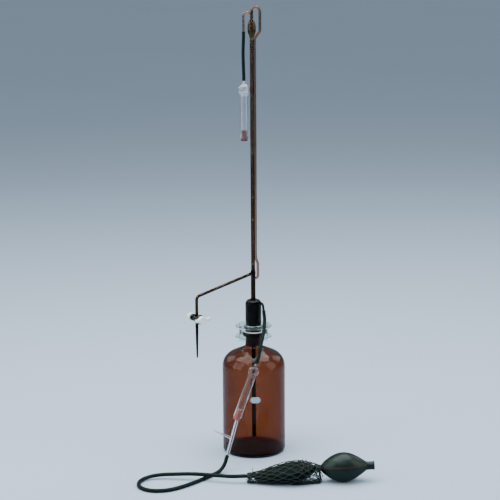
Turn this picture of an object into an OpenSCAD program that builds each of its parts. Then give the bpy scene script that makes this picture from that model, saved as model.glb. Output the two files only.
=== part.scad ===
// Automatic burette on an amber reservoir bottle, filled by a rubber double bellows.
// The origin is the centre of the bottle's base, +Z is up and the front is -Y. Sizes are in millimetres.

/* [Reservoir bottle] */
// Outer diameter of the bottle
bottle_d = 133; // [125:1:141]
// Height of the bottle up to its lip
bottle_h = 264; // [250:1:280]
// Wall of the bottle
bottle_wall = 3; // [2:0.25:4]
// Thickness of the bottle's base
bottle_base_t = 6; // [4:0.5:9]
// Radius of the heel between base and side
heel_r = 8; // [5:0.5:12]
// Radius of the round shoulder
shoulder_r = 34; // [31:1:38]
// Angle that the shoulder's round turns through
shoulder_turn = 66; // [60:1:68]
// Radius of the hollow between shoulder and neck
neck_fillet = 8; // [6:0.5:10]
// Outer diameter of the neck
neck_d = 35; // [34:0.25:38]
// Length of the straight neck, lip included
neck_len = 29; // [27:0.5:32]
// Outer diameter of the lip
lip_d = 48; // [45:0.5:50]
// Height of the lip
lip_h = 11.5; // [10:0.25:13]

/* [Ground joint] */
// Large diameter of the ground joint, one in ten taper
joint_d = 29.2; // [28:0.1:30]
// Length of the ground joint
joint_len = 32; // [29:0.5:35]
// Grease film between cone and socket
joint_film = 0.06; // [0.03:0.01:0.1]

/* [Burette head] */
// Outer diameter of the head's chamber
chamber_d = 34; // [32:0.5:36]
// Height of the chamber above the lip
chamber_h = 67; // [60:1:75]
// Radius of the chamber's top edge
chamber_round = 9; // [6:0.5:10]
// Wall of the chamber and of the cone
head_wall = 2; // [1.5:0.1:2.5]
// Diameter of the flange that the clamp presses on
flange_d = 42; // [40:0.5:45]
// Height of that flange
flange_h = 5; // [4:0.25:6]
// Gap between lip and flange
flange_gap = 2; // [1.5:0.25:3]
// Outer diameter of the dip tube
dip_od = 9; // [8:0.25:10]
// Height of the dip tube's open end above the table
dip_end = 29; // [20:1:40]
// Outer diameter of the stem
stem_od = 9.8; // [9.2:0.1:10.4]
// Bore of stem and dip tube
riser_bore = 5.5; // [4.5:0.1:6]
// Length of the stem
stem_len = 53; // [48:1:60]
// Outer diameter of the pressure arm
pressure_od = 5; // [4.5:0.1:5.2]
// Bore of the pressure arm
pressure_bore = 3; // [2:0.1:3.4]
// Reach of the pressure arm from the axis
pressure_reach = 27; // [25:0.5:30]
// Length of the pressure arm's free leg below its bend
pressure_leg = 15.5; // [13:0.5:18]

/* [Measuring tube] */
// Outer diameter of the measuring tube
burette_od = 8.4; // [8:0.1:9]
// Bore of the measuring tube
burette_bore = 6; // [5.4:0.1:6.4]
// Length of the measuring tube
burette_len = 497; // [470:1:520]
// Diameter of the swelling at its foot
foot_d = 10.8; // [10:0.1:11.4]
// Outer diameter of the filling tube
filling_od = 5.6; // [5.1:0.1:6]
// Bore of the filling tube
filling_bore = 3; // [2.4:0.1:3.4]
// Reach of the by-pass loop at the foot
bypass_reach = 10; // [9.5:0.25:12]
// Diameter of the zero bulb
zero_d = 17; // [15:0.5:19]
// Height of the zero bulb
zero_h = 37; // [33:1:42]
// Outer diameter of the neck above the zero bulb
top_neck_od = 6.4; // [6.1:0.1:6.9]
// Bore of that neck
top_neck_bore = 4; // [3.6:0.1:4.4]
// Length of that neck
top_neck_len = 18; // [15:0.5:22]
// Reach of the arch over the zero bulb
arch_reach = 16.8; // [15:0.2:19]
// Outer diameter of the zero tip inside the bulb
tip_od = 2.4; // [2:0.1:2.8]
// Bore of the zero tip
tip_bore = 1; // [0.6:0.1:1.4]
// Outer diameter of the vent tube
vent_od = 4.7; // [4.3:0.1:5]
// Bore of the vent tube
vent_bore = 2.7; // [2:0.1:3]
// Drop from the neck's top to where the vent hose begins
vent_drop = 41.5; // [36:0.5:46]

/* [Side arm and stopcock] */
// Direction of the side arm, seen from above
arm_turn = 215; // [205:1:225]
// Reach of the side arm from the axis
arm_reach = 143; // [130:1:155]
// Fall of the side arm over that reach
arm_fall = 31; // [24:1:38]
// Drop from the side arm's bend to the stopcock
cock_drop = 46; // [40:1:52]
// Outer diameter of the side arm
arm_od = 6.3; // [5.8:0.1:6.8]
// Bore of the side arm
arm_bore = 3; // [2:0.1:3.6]
// Length of the stopcock's barrel
barrel_len = 30; // [26:1:34]
// Small diameter of the key inside the barrel, one in five taper
key_d = 6.6; // [6:0.1:7.2]
// Wall of the barrel
barrel_wall = 3; // [2.6:0.1:3.4]
// Width of the beads at the barrel's ends
bead_w = 3.5; // [3:0.25:4.5]
// Running clearance of the key
key_clear = 0.05; // [0.03:0.01:0.1]
// Bore through the key
key_bore = 2.4; // [1.5:0.1:2.6]
// Length of the jet below the stopcock
jet_len = 84; // [76:1:92]
// Outer diameter of the jet at its top
jet_od = 6.6; // [6:0.1:7]
// Outer diameter of the jet at its point
jet_tip_od = 3; // [2.6:0.1:3.4]
// Bore of the jet's point
jet_tip_bore = 0.9; // [0.6:0.1:1.2]
// Diameter of the handle's hub
hub_d = 17; // [15:0.5:19]
// Thickness of the handle's hub
hub_t = 9; // [8:0.25:11]
// Length of the handle's short wing
short_wing = 16.8; // [15:0.2:19]
// Length of the handle's long wing
long_wing = 22.2; // [19:0.2:25]
// Width of the handle's wings
wing_w = 8.4; // [7:0.2:10]
// Diameter of the key's nut
nut_d = 16; // [14:0.5:18]
// Thickness of the key's nut
nut_t = 7.5; // [6:0.25:9]

/* [Joint clamp] */
// Outer diameter of the clamp plates
plate_d = 76; // [72:0.5:80]
// Thickness of the clamp plates
plate_t = 4.5; // [3.5:0.25:5]
// Distance of the springs from the axis
spring_reach = 27.5; // [27.5:0.25:30]
// Mean diameter of a spring's curls
spring_d = 4.4; // [3.6:0.1:4.8]
// Diameter of the spring wire
wire_d = 0.8; // [0.6:0.05:0.9]
// Number of curls of a spring
spring_curls = 9; // [7:1:10]
// Length of the hooked tail below the lower plate
tail_len = 6; // [4:0.5:8]

/* [Drying tubes] */
// Diameter of a drying tube's bulb
dry_bulb_d = 24; // [22:0.5:26]
// Outer diameter of a drying tube
dry_od = 17.6; // [16:0.2:19]
// Wall of a drying tube
dry_wall = 1.3; // [1:0.1:1.6]
// Length of a drying tube below its hose
dry_len = 119.5; // [110:0.5:130]
// Length of the drying tube's neck below its hose
dry_neck = 7; // [5:0.5:9]
// Outer diameter of the drying tube's neck
dry_neck_od = 4.8; // [4.4:0.1:5]
// Bore of the drying tube's neck
dry_neck_bore = 2.8; // [2:0.1:3.2]
// Length of a stopper inside its tube
stopper_in = 16.5; // [14:0.5:20]
// Length of a stopper outside its tube
stopper_out = 5; // [3:0.5:7]
// Gap between the hanging drying tube and the measuring tube
hang_gap = 0.6; // [0.4:0.1:2]
// Outer diameter of the tee's stem
tee_od = 7.2; // [6.6:0.1:7.8]
// Outer diameter of the tee's ends inside hose and stopper
tee_end_od = 6; // [5.6:0.1:6.2]
// Bore of the tee
tee_bore = 3.8; // [3:0.1:4.4]
// Distance from the stopper's middle down to the tee's side arm
tee_at = 50; // [44:1:56]
// Distance from the stopper's middle down to where the bellows hose begins
tee_len = 85.5; // [80:0.5:90]
// Length of the finger vent
finger_len = 42.5; // [36:0.5:50]
// Diameter of the finger vent's point
finger_tip_d = 2.4; // [2:0.1:3]
// Bore of the finger vent where it leaves the stem
finger_bore = 3; // [2.4:0.1:3.4]
// Bore of the finger vent's point
finger_tip_bore = 1; // [0.6:0.1:1.2]

/* [Hoses] */
// Outer diameter of the vent hose
vent_hose_d = 6.6; // [6.2:0.1:7.2]
// Outer diameter of the pressure hose
pressure_hose_d = 7.4; // [7:0.1:7.8]
// Outer diameter of the bellows hose
bellows_hose_d = 8; // [7.6:0.1:8.2]
// Gap between a hose's bore and the glass in it
hose_gap = 0.3; // [0.2:0.05:0.4]
// Length of glass inside a hose
hose_grip = 8; // [6:0.5:9]

/* [Bellows] */
// Diameter of the hand bulb
hand_d = 60; // [54:0.5:64]
// Length of the hand bulb's body
hand_len = 93; // [86:1:98]
// Wall of the hand bulb
hand_wall = 3; // [2.5:0.25:4]
// Diameter of the hand bulb's outlet neck
outlet_neck_d = 10.6; // [10.2:0.2:12]
// Diameter of the hand bulb's inlet neck
inlet_neck_d = 18; // [17:0.2:20]
// Length of the hand bulb's inlet neck
inlet_neck_len = 16.5; // [13:0.5:20]
// Diameter of the valve bodies
valve_d = 7.4; // [7:0.1:7.8]
// Diameter of the valve balls
ball_d = 4.2; // [3.8:0.1:4.4]
// Travel of the valve balls
ball_travel = 1.2; // [0.8:0.1:1.6]
// Length of the netted bag between its necks
bag_len = 120; // [114:1:126]
// Greatest width of the netted bag
bag_w = 68; // [62:1:72]
// Greatest height of the netted bag
bag_h = 43; // [38:0.5:46]
// Thickness of the net's cord
net_t = 1.1; // [0.8:0.1:1.4]
// Meshes round the net
net_round = 12; // [10:2:14]
// Meshes along the net
net_along = 12; // [10:2:14]

/* [Hidden] */
$fn = 48;

// Small gaps where fused glass or seated pieces meet
weld = 0.05;
seat_gap = 0.3;

// Glass swells a little where it is bent, and its straight lengths run a little way into the bends
bend_swell = 0.1;
bend_lap = 0.2;

// Heights of the glass, all carried by the lip
lip_z = bottle_h;
flange_z = lip_z + flange_gap;
chamber_top = lip_z + chamber_h;
stem_top = chamber_top + stem_len;
septum_t = 2;
zero_z = stem_top + burette_len;
zero_top = zero_z + zero_h;
neck_top = zero_top + top_neck_len;
cap_t = 2;

// Bottle profile values
bottle_r = bottle_d / 2;
neck_r = neck_d / 2;
neck_foot = lip_z - neck_len;
shoulder_end_r = bottle_r - shoulder_r + shoulder_r * cos(shoulder_turn);
fillet_r = neck_r + neck_fillet;
slope_rise = (neck_fillet + (shoulder_end_r - fillet_r) * cos(shoulder_turn)) / sin(shoulder_turn);
shoulder_z = neck_foot - slope_rise - shoulder_r * sin(shoulder_turn);
socket_foot_r = joint_d / 2 - joint_len / 20;
lip_round = 3.5;

// Filling tube beside the measuring tube, behind and to the right
filling_turn = 37;
filling_off = burette_od / 2 + filling_od / 2 + 0.1;
filling_x = filling_off * cos(filling_turn);
filling_y = filling_off * sin(filling_turn);

// Side arm and stopcock places
arm_z = stem_top + 4;
bend_z = arm_z - arm_fall;
cock_z = bend_z - cock_drop;
barrel_half = barrel_len / 2;
key_slope = 1 / 10;
key_big_d = key_d + barrel_len / 5;
front_bead_d = 20;
stub_r = 2.9;
washer_t = 1.2;
ring_wire_d = 1.8;
handle_gap = 0.6;

// Pressure arm in its own upright plane, which is turned about the axis
pressure_turn = -43;
pressure_lean = 9;
pressure_bend_r = 8;
pressure_z = chamber_top - 4;
pressure_knee = [pressure_reach, 0, pressure_z];
pressure_dir = [sin(pressure_lean), 0, -cos(pressure_lean)];
pressure_tip = turned(pressure_knee + pressure_leg * pressure_dir, pressure_turn);
pressure_hose_dir = turned(pressure_dir, pressure_turn);

// Vent hose and the drying tube that hangs from it
vent_reach = dry_bulb_d / 2 + burette_od / 2 + hang_gap;
vent_tip = [-vent_reach, 0, neck_top - vent_drop];
vent_hose_drops = [[0, 0, 0], [0, 0, -10], [-0.5, 0, -24], [-1, 0, -40], [-1, 0, -56], [-0.5, 0, -74], [0, 0, -91],
    [0, 0, -101]];
vent_hose_route = [for (p = vent_hose_drops) vent_tip + p];
vent_dry_top = vent_hose_route[len(vent_hose_route) - 1];

// Inlet line in front of the bottle: a leaning drying tube, and a tee that leans less from the stopper's middle on
inlet_stand_off = 10.5;
inlet_top = [5.5, -bottle_r - inlet_stand_off, 212];
inlet_lean_front = 19.4;
inlet_lean_left = 19.9;
tee_lean_left = 15.4;
inlet_dir = leaning(inlet_lean_left, inlet_lean_front);
tee_dir = leaning(tee_lean_left, inlet_lean_front);
stopper_mid = dry_len + (stopper_out - stopper_in) / 2;
tee_pivot = inlet_top + stopper_mid * inlet_dir;
tee_tip = tee_pivot + tee_len * tee_dir;
finger_rise = 9;

// Bellows line: bag, valve and hand bulb lie along one line on the table
bellows_place = [181, -208];
bellows_turn = 2.5;
hand_tilt = 2;
hand_z = hand_d / 2 / cos(hand_tilt) + 0.05;
hand_half = hand_len / 2;
neck_gap = 0.6;
outlet_neck_len = 7;
bag_neck_d = valve_d + 3;
bag_neck_len = 9;
bag_right = -hand_half - outlet_neck_len - neck_gap - bag_neck_len;
bag_left = bag_right - bag_len;
bag_end = bag_left - bag_neck_len;
bag_foot_z = 15;
bag_top_z = hand_z + (bag_right + bag_neck_len / 2) * sin(hand_tilt);
net_gap = 0.7;
bag_rest = net_gap + net_t + 0.1;
nipple_grip = 9;
nipple_bore = 3;
nipple_collar_d = 10;
nipple_collar_t = 2.6;
nipple_seat = bag_end - 0.2 - nipple_collar_t;

// Hose routes
pressure_hose_route = concat(
    [pressure_tip, pressure_tip + 9 * pressure_hose_dir],
    [[23.4, -24.5, 294], [23.2, -30.5, 285], [22.2, -37.5, 276], [20.4, -45, 267], [18, -52.5, 257.5],
        [15.5, -59.5, 248], [13.2, -66, 238], [11.4, -71, 228]],
    [inlet_top - 8 * inlet_dir, inlet_top]);
bellows_hose_route = concat(
    [tee_tip, tee_tip + 9 * tee_dir],
    [[-60, -144.8, 20.3], [-61.9, -147.1, 16.3], [-64.1, -149.8, 12.8], [-66.6, -152.8, 9.9], [-69.4, -156.1, 7.5],
        [-72.4, -159.9, 5.7], [-78.8, -167.6, 4.3], [-90, -182, 4.2], [-110, -208, 4.2], [-128, -229, 4.2], [-147, -248, 4.2], [-167, -263, 4.2], [-187, -270, 4.2],
        [-207, -269, 4.2], [-222, -260, 4.2], [-232, -246, 4.2], [-235, -229, 4.2], [-232, -212, 4.6],
        [-222, -198, 5.6], [-206, -190, 7.4], [-186, -188, 9.2], [-160, -191, 11], [-132, -195, 12.6],
        [-106, -200, 13.2], [-82, -206.5, 13.4], [-60, -212.5, 13.6], [-42, -216.3, 14.2]],
    [bellows_at(nipple_seat - 9.2, 0, bag_foot_z), bellows_at(nipple_seat - 0.2, 0, bag_foot_z)]);

// Joint clamp places
upper_plate_z = flange_z + flange_h + seat_gap;
lower_plate_z = lip_z - lip_h - seat_gap - plate_t;
leg_reach = spring_reach + spring_d / 2;
coil_pitch = (upper_plate_z - lower_plate_z - plate_t - 6) / spring_curls;
coil_z = lower_plate_z + plate_t + 3;
hook_r = 1.8;
rings_per_curl = 8;
wire_sides = 6;
hose_sides = 10;
plate_bore_gap = 0.75;
plate_edge = 0.8;

// Unit vector along v
function unit(v) = v / norm(v);

// Point p turned about the upright axis
function turned(p, a) = [p.x * cos(a) - p.y * sin(a), p.x * sin(a) + p.y * cos(a), p.z];

// Direction of a tube that hangs down but leans to the left and to the front
function leaning(left, front) = [-sin(left), -cos(left) * sin(front), -cos(left) * cos(front)];

// Points of a flat arc round [cx, cy]
function arc(cx, cy, r, from, to, steps = 8) =
    [for (i = [0:steps]) let (a = from + (to - from) * i / steps) [cx + r * cos(a), cy + r * sin(a)]];

// Point of the bellows line, whose x runs along it from the hand bulb's middle
function bellows_at(x, y, z) = turned([x, y, z], bellows_turn) + [bellows_place.x, bellows_place.y, 0];

// Directions along a route, and normals that don't twist about it
function directions(p) =
    [for (i = [0:len(p) - 1]) unit(p[min(i + 1, len(p) - 1)] - p[max(i - 1, 0)])];
function normals(t, last, i = 0) =
    i == len(t) ? [] : let (n = unit(last - t[i] * (last * t[i]))) concat([n], normals(t, n, i + 1));

// Ring of points round p
function ring(p, t, n, r, sides) =
    let (b = cross(t, n)) [for (j = [0:sides - 1]) let (a = 360 * j / sides) p + r * (n * cos(a) + b * sin(a))];

// Two triangles for each step round a band between the rings that start at points a and b
function band(a, b, sides) =
    [for (j = [0:sides - 1]) let (k = (j + 1) % sides) each [[a + j, b + j, b + k], [a + j, b + k, a + k]]];

// The same, with its diagonals leaning both ways in turn, as the cords of a net do
function crossed_band(a, b, sides, step) =
    [for (j = [0:sides - 1]) let (k = (j + 1) % sides) each (j + step) % 2 == 0
        ? [[a + j, b + j, b + k], [a + j, b + k, a + k]]
        : [[a + j, b + j, a + k], [b + j, b + k, a + k]]];

// Body of revolution about Z
module lathe(points) {
    rotate_extrude() polygon(points);
}

// Straight round rod between two points
module rod(from, to, d) {
    way = to - from;
    translate(from) rotate([0, acos(way.z / norm(way)), atan2(way.y, way.x)]) cylinder(d = d, h = norm(way));
}

// Round bend at a corner, between the directions before and after it
module elbow(corner, before, after, r, d) {
    turn = acos(before * after);
    inward = unit(after - before * cos(turn));
    centre = corner - before * r * tan(turn / 2) + inward * r;
    side = cross(before, inward);
    multmatrix([
        [-inward.x, before.x, side.x, centre.x],
        [-inward.y, before.y, side.y, centre.y],
        [-inward.z, before.z, side.z, centre.z],
        [0, 0, 0, 1]])
        rotate_extrude(angle = turn) translate([r, 0]) circle(d = d);
}

// Round rod along points, with a bend radius at each inner point
module bent_rod(p, bends, d) {
    last = len(p) - 1;
    dirs = [for (i = [0:last - 1]) unit(p[i + 1] - p[i])];
    trims = [for (i = [0:last])
        i == 0 || i == last ? 0 : bends[i - 1] * tan(acos(dirs[i - 1] * dirs[i]) / 2) - bend_lap];
    for (i = [0:last - 1])
        rod(p[i] + dirs[i] * trims[i], p[i + 1] - dirs[i] * trims[i + 1], d);
    for (i = [1:last - 1])
        elbow(p[i], dirs[i - 1], dirs[i], bends[i - 1], d + bend_swell);
}

// Glass tube along points, open at both ends
module bent_tube(p, bends, od, bore) {
    difference() {
        bent_rod(p, bends, od);
        bent_rod(p, bends, bore);
    }
}

// Soft hose along a route, open at both ends
module hose(route, od, bore) {
    t = directions(route);
    n = normals(t, abs(t[0].z) < 0.9 ? [0, 0, 1] : [1, 0, 0]);
    last = len(route) - 1;
    s = hose_sides;
    inner_from = (last + 1) * s;
    rings = concat(
        [for (i = [0:last]) each ring(route[i], t[i], n[i], od / 2, s)],
        [for (i = [0:last]) each ring(route[i], t[i], n[i], bore / 2 / cos(180 / s), s)]);
    faces = concat(
        [for (i = [0:last - 1]) each band(i * s, (i + 1) * s, s)],
        [for (i = [0:last - 1]) each band(inner_from + (i + 1) * s, inner_from + i * s, s)],
        band(inner_from, 0, s),
        band(last * s, inner_from + last * s, s));
    polyhedron(rings, faces);
}

// Stations of the glass along the axes of the two hanging lines
module at_vent_line() {
    translate(vent_dry_top) children();
}

module at_inlet_line() {
    translate(inlet_top) rotate([-inlet_lean_front, 0, 0]) rotate([0, inlet_lean_left, 0]) children();
}

module at_tee() {
    translate(tee_pivot) rotate([-inlet_lean_front, 0, 0]) rotate([0, tee_lean_left, 0]) children();
}

// Frame of the side arm: X runs out along it
module at_side_arm() {
    rotate([0, 0, arm_turn]) children();
}

// Frame of the stopcock: Z runs along the key towards its handle, and Y points down
module at_stopcock() {
    at_side_arm() translate([arm_reach, 0, cock_z]) rotate([-90, 0, 0]) children();
}

// Frame of the bellows line on the table, and of the tilted hand bulb in it
module at_bellows() {
    translate([bellows_place.x, bellows_place.y, 0]) rotate([0, 0, bellows_turn]) children();
}

module at_hand_bulb() {
    at_bellows() translate([0, 0, hand_z]) rotate([0, -hand_tilt, 0]) rotate([0, 90, 0]) children();
}

// Radius of the ground cone at height z
function cone_r(z) = joint_d / 2 - (lip_z - z) / 20;

// Bottle of amber glass with a round shoulder, a ground socket in its neck and a beaded lip
module reservoir_bottle() {
    w = bottle_wall;
    inner_heel = max(heel_r - w, 1);
    inner_end_r = bottle_r - shoulder_r + (shoulder_r - w) * cos(shoulder_turn);
    outside = concat(
        [[0, 0]],
        arc(bottle_r - heel_r, heel_r, heel_r, -90, 0, 6),
        arc(bottle_r - shoulder_r, shoulder_z, shoulder_r, 0, shoulder_turn, 12),
        arc(fillet_r, neck_foot, neck_fillet, 180 + shoulder_turn, 180, 8),
        [[neck_r, lip_z - lip_h]],
        arc(lip_d / 2 - lip_round, lip_z - lip_h + lip_round, lip_round, -90, 0, 5),
        arc(lip_d / 2 - lip_round, lip_z - lip_round, lip_round, 0, 90, 5));
    inside = concat(
        [[joint_d / 2, lip_z], [socket_foot_r, lip_z - joint_len]],
        arc(fillet_r, neck_foot, neck_fillet + w, 180 + 18, 180 + shoulder_turn, 6),
        arc(bottle_r - shoulder_r, shoulder_z, shoulder_r - w, shoulder_turn, 0, 12),
        arc(bottle_r - w - inner_heel, bottle_base_t + inner_heel, inner_heel, 0, -90, 5),
        [[0, bottle_base_t]]);
    color("saddlebrown") lathe(concat(outside, inside));
}

// Solid outline of the head's chamber, with some added to its radius
module chamber_outline(grow = 0) {
    r = chamber_d / 2 + grow;
    lathe(concat(
        [[0, flange_z], [r, flange_z]],
        arc(r - chamber_round, chamber_top - chamber_round, chamber_round, 0, 90, 8),
        [[0, chamber_top]]));
}

// Ground cone, clamp flange and air chamber, blown in one piece
module burette_head() {
    cone_foot = lip_z - joint_len + 1;
    r = chamber_d / 2;
    bore_r = cone_r(cone_foot) - head_wall;
    top_t = head_wall;
    outside = concat(
        [[cone_r(cone_foot) - joint_film, cone_foot], [cone_r(lip_z + 0.8) - joint_film, lip_z + 0.8]],
        [[flange_d / 2 - 1, flange_z], [flange_d / 2, flange_z + 1], [flange_d / 2, flange_z + flange_h - 1]],
        [[flange_d / 2 - 1, flange_z + flange_h], [r, flange_z + flange_h]],
        arc(r - chamber_round, chamber_top - chamber_round, chamber_round, 0, 90, 8));
    inside = concat(
        [[riser_bore / 2, chamber_top], [riser_bore / 2, chamber_top - top_t]],
        arc(r - chamber_round, chamber_top - chamber_round, chamber_round - top_t, 90, 0, 8),
        [[r - head_wall, flange_z + flange_h + 3], [bore_r, flange_z - 1], [bore_r, cone_foot]]);
    color("saddlebrown") difference() {
        lathe(concat(outside, inside));
        rotate([0, 0, pressure_turn]) rod([r - chamber_round, 0, pressure_z], pressure_knee, pressure_bore);
    }
}

// Tube that draws from the bottom of the bottle
module dip_tube() {
    color("saddlebrown") translate([0, 0, dip_end]) difference() {
        cylinder(d = dip_od, h = chamber_top - head_wall - dip_end);
        cylinder(d = riser_bore, h = chamber_top);
    }
}

// Bent arm that lets air pressure into the chamber
module pressure_arm() {
    end = pressure_knee + (pressure_leg + hose_grip) * pressure_dir;
    color("saddlebrown") difference() {
        rotate([0, 0, pressure_turn])
            bent_tube([[0, 0, pressure_z], pressure_knee, end], [pressure_bend_r], pressure_od, pressure_bore);
        chamber_outline(weld);
    }
}

// Start of the by-pass in the stem
bypass_z = stem_top - 9;

// Stem between head and measuring tube, closed at its top
module riser_stem() {
    color("saddlebrown") difference() {
        translate([0, 0, chamber_top]) cylinder(d = stem_od, h = stem_len);
        translate([0, 0, chamber_top]) cylinder(d = riser_bore, h = stem_len - septum_t);
        rod([0, 0, bypass_z], [bypass_reach, 1, bypass_z + 4], filling_bore);
    }
}

// Outline of the measuring tube, with some added to its radius
module burette_outline(grow = 0) {
    r = burette_od / 2 + grow;
    foot_r = foot_d / 2 + grow;
    lathe([[0, stem_top], [stem_od / 2 + grow, stem_top], [foot_r, stem_top + 2], [foot_r, stem_top + 6],
        [r, stem_top + 12], [r, zero_z], [0, zero_z]]);
}

// Measuring tube with its swollen foot
module burette_tube() {
    color("saddlebrown") difference() {
        burette_outline();
        translate([0, 0, stem_top - 1]) cylinder(d = burette_bore, h = burette_len + 2);
        at_side_arm() rod([0, 0, arm_z], [arm_reach, 0, bend_z], arm_bore);
    }
}

// Solid form of the filling tube or of its bore, ending in an arch over the zero bulb
module filling_rod(d) {
    arch_r = arch_reach / 2;
    points = [[0, 0, bypass_z], [bypass_reach, 1, bypass_z + 4], [bypass_reach, 1, bypass_z + 33],
        [filling_x, filling_y, bypass_z + 46], [filling_x, filling_y, zero_z - 2], [arch_reach, 0, zero_z + 14],
        [arch_reach, 0, neck_top + bend_lap]];
    bent_rod(points, [5, 6, 8, 8, 8], d);
    translate([arch_r, 0, neck_top]) rotate([90, 0, 0])
        rotate_extrude(angle = 180) translate([arch_r, 0]) circle(d = d + bend_swell);
}

// Tube from the stem up beside the measuring tube and over the top of the zero bulb
module filling_tube() {
    color("saddlebrown") difference() {
        filling_rod(filling_od);
        filling_rod(filling_bore);
        translate([0, 0, bypass_z - 20]) cylinder(d = stem_od + 2 * weld, h = 29);
    }
}

// Bulb that catches the overflow above the zero mark, with the neck that carries the arch
module zero_bulb() {
    r = zero_d / 2;
    tube_r = burette_od / 2;
    nr = top_neck_od / 2;
    wall = (burette_od - burette_bore) / 2;
    crown = 8;
    swell = 13;
    outside = concat(
        [[tube_r, zero_z], [r, zero_z + swell]],
        arc(r - crown, zero_top - crown, crown, 0, 70, 6),
        [[nr, zero_top + 1], [nr, neck_top]]);
    inside = concat(
        [[tip_od / 2 + weld, neck_top], [tip_od / 2 + weld, neck_top - cap_t]],
        [[top_neck_bore / 2, neck_top - cap_t], [top_neck_bore / 2, zero_top - wall]],
        arc(r - crown, zero_top - crown, crown - wall, 60, 0, 6),
        [[r - wall, zero_z + swell], [burette_bore / 2, zero_z]]);
    color("olive") difference() {
        lathe(concat(outside, inside));
        rod([0, 0, neck_top - 5], [-vent_reach, 0, neck_top - 1], vent_bore);
    }
}

// Fine tip that sets the zero level
module zero_tip() {
    foot = zero_z + 2;
    color("saddlebrown") translate([0, 0, foot]) difference() {
        cylinder(d = tip_od, h = neck_top - foot);
        cylinder(d = tip_bore, h = neck_top - foot);
    }
}

// Tube from the neck out to the vent hose
module vent_tube() {
    end = vent_tip - [0, 0, hose_grip];
    color("saddlebrown") difference() {
        bent_tube([[0, 0, neck_top - 5], [-vent_reach, 0, neck_top - 1], end], [7], vent_od, vent_bore);
        translate([0, 0, zero_top]) cylinder(d = top_neck_od + 2 * weld, h = top_neck_len);
    }
}

// Outline of the stopcock's barrel, with some added to its radius
module barrel_outline(grow = 0) {
    small_r = key_d / 2 + barrel_wall + grow;
    big_r = key_big_d / 2 + barrel_wall - 1 + grow;
    front_r = front_bead_d / 2 + grow;
    lathe([[0, -barrel_half], [small_r + 0.8, -barrel_half], [small_r + 0.8, bead_w - barrel_half],
        [small_r, bead_w + 1 - barrel_half], [big_r, barrel_half - bead_w - 1.5], [front_r, barrel_half - bead_w],
        [front_r, barrel_half], [0, barrel_half]]);
}

// Sloping side arm that carries the stopcock
module side_arm() {
    points = [[0, 0, arm_z], [arm_reach, 0, bend_z], [arm_reach, 0, cock_z]];
    color("saddlebrown") difference() {
        at_side_arm() bent_tube(points, [9], arm_od, arm_bore);
        burette_outline(weld);
        at_stopcock() barrel_outline(weld);
    }
}

// Stopcock's barrel with its tapered seat and the passage across it
module stopcock_barrel() {
    color("saddlebrown") at_stopcock() difference() {
        barrel_outline();
        translate([0, 0, -barrel_half]) cylinder(d1 = key_d, d2 = key_big_d, h = barrel_len);
        rotate([90, 0, 0]) translate([0, 0, -front_bead_d]) cylinder(d = key_bore, h = 2 * front_bead_d);
    }
}

// Jet drawn out to a fine point
module jet_tip() {
    top_bore = key_bore;
    point_len = 8;
    color("darkolivegreen") difference() {
        at_side_arm() translate([arm_reach, 0, cock_z - jet_len]) lathe([
            [jet_tip_bore / 2, 0], [jet_tip_od / 2, 0], [jet_tip_od / 2 + 0.4, point_len], [jet_od / 2, jet_len - 18],
            [jet_od / 2, jet_len], [top_bore / 2, jet_len], [top_bore / 2, jet_len - 20], [jet_tip_bore / 2, point_len]]);
        at_stopcock() barrel_outline(weld);
    }
}

// Outline of the handle seen along the key: a hub with a short and a long wing
module handle_outline() {
    circle(d = hub_d);
    for (wing = [[1, short_wing], [-1, long_wing]]) {
        tip_x = wing[1] - wing_w / 2;
        translate([wing[0] * tip_x / 2, 0]) square([tip_x, wing_w], center = true);
        translate([wing[0] * tip_x, 0]) circle(d = wing_w);
    }
}

// White key with its bore, threaded stub and handle
module stopcock_key() {
    hub_z = barrel_half + handle_gap;
    wing_t = 5;
    wing_z = hub_z + 1.5;
    stub_len = washer_t + ring_wire_d + nut_t + 2;
    c = key_clear / cos(atan(key_slope));
    lead = 0.3;
    color("white") at_stopcock() difference() {
        union() {
            translate([0, 0, -barrel_half - lead])
                cylinder(d1 = key_d - 2 * c - lead / 5, d2 = key_big_d - 2 * c, h = barrel_len + lead);
            translate([0, 0, -barrel_half - stub_len]) cylinder(r = stub_r, h = stub_len);
            translate([0, 0, barrel_half]) cylinder(d = key_big_d - 2 * c, h = handle_gap);
            translate([0, 0, hub_z]) cylinder(d = hub_d, h = hub_t);
            translate([0, 0, wing_z]) linear_extrude(wing_t) handle_outline();
        }
        rotate([0, 90, 0]) translate([0, 0, -key_big_d]) cylinder(d = key_bore, h = 2 * key_big_d);
        translate([0, 0, hub_z + hub_t - 1]) cylinder(d = hub_d - 6, h = 2);
    }
}

// Places of the small pieces behind the barrel
washer_z = -barrel_half - 0.4 - washer_t;
ring_z = washer_z - ring_wire_d / 2 - 0.02;
nut_z = ring_z - ring_wire_d / 2 - 0.02 - nut_t;

// Flat washer against the barrel
module key_washer() {
    color("whitesmoke") at_stopcock() translate([0, 0, washer_z]) difference() {
        cylinder(d = key_d + 2 * barrel_wall - 0.4, h = washer_t);
        cylinder(r = stub_r + 0.1, h = washer_t);
    }
}

// Rubber ring that keeps the key under tension
module key_o_ring() {
    color("dimgray") at_stopcock() translate([0, 0, ring_z])
        rotate_extrude() translate([stub_r + 0.1 + ring_wire_d / 2, 0]) circle(d = ring_wire_d);
}

// Round nut with grip flutes
module key_nut() {
    flutes = 12;
    color("white") at_stopcock() translate([0, 0, nut_z]) difference() {
        lathe([[0, 0], [nut_d / 2 - 1, 0], [nut_d / 2, 1], [nut_d / 2, nut_t - 1], [nut_d / 2 - 1, nut_t],
            [0, nut_t]]);
        cylinder(r = stub_r + 0.05, h = nut_t);
        for (i = [0:flutes - 1])
            rotate([0, 0, 360 * i / flutes]) translate([nut_d / 2 + 0.4, 0, 0]) cylinder(d = 2.2, h = nut_t);
    }
}

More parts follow.
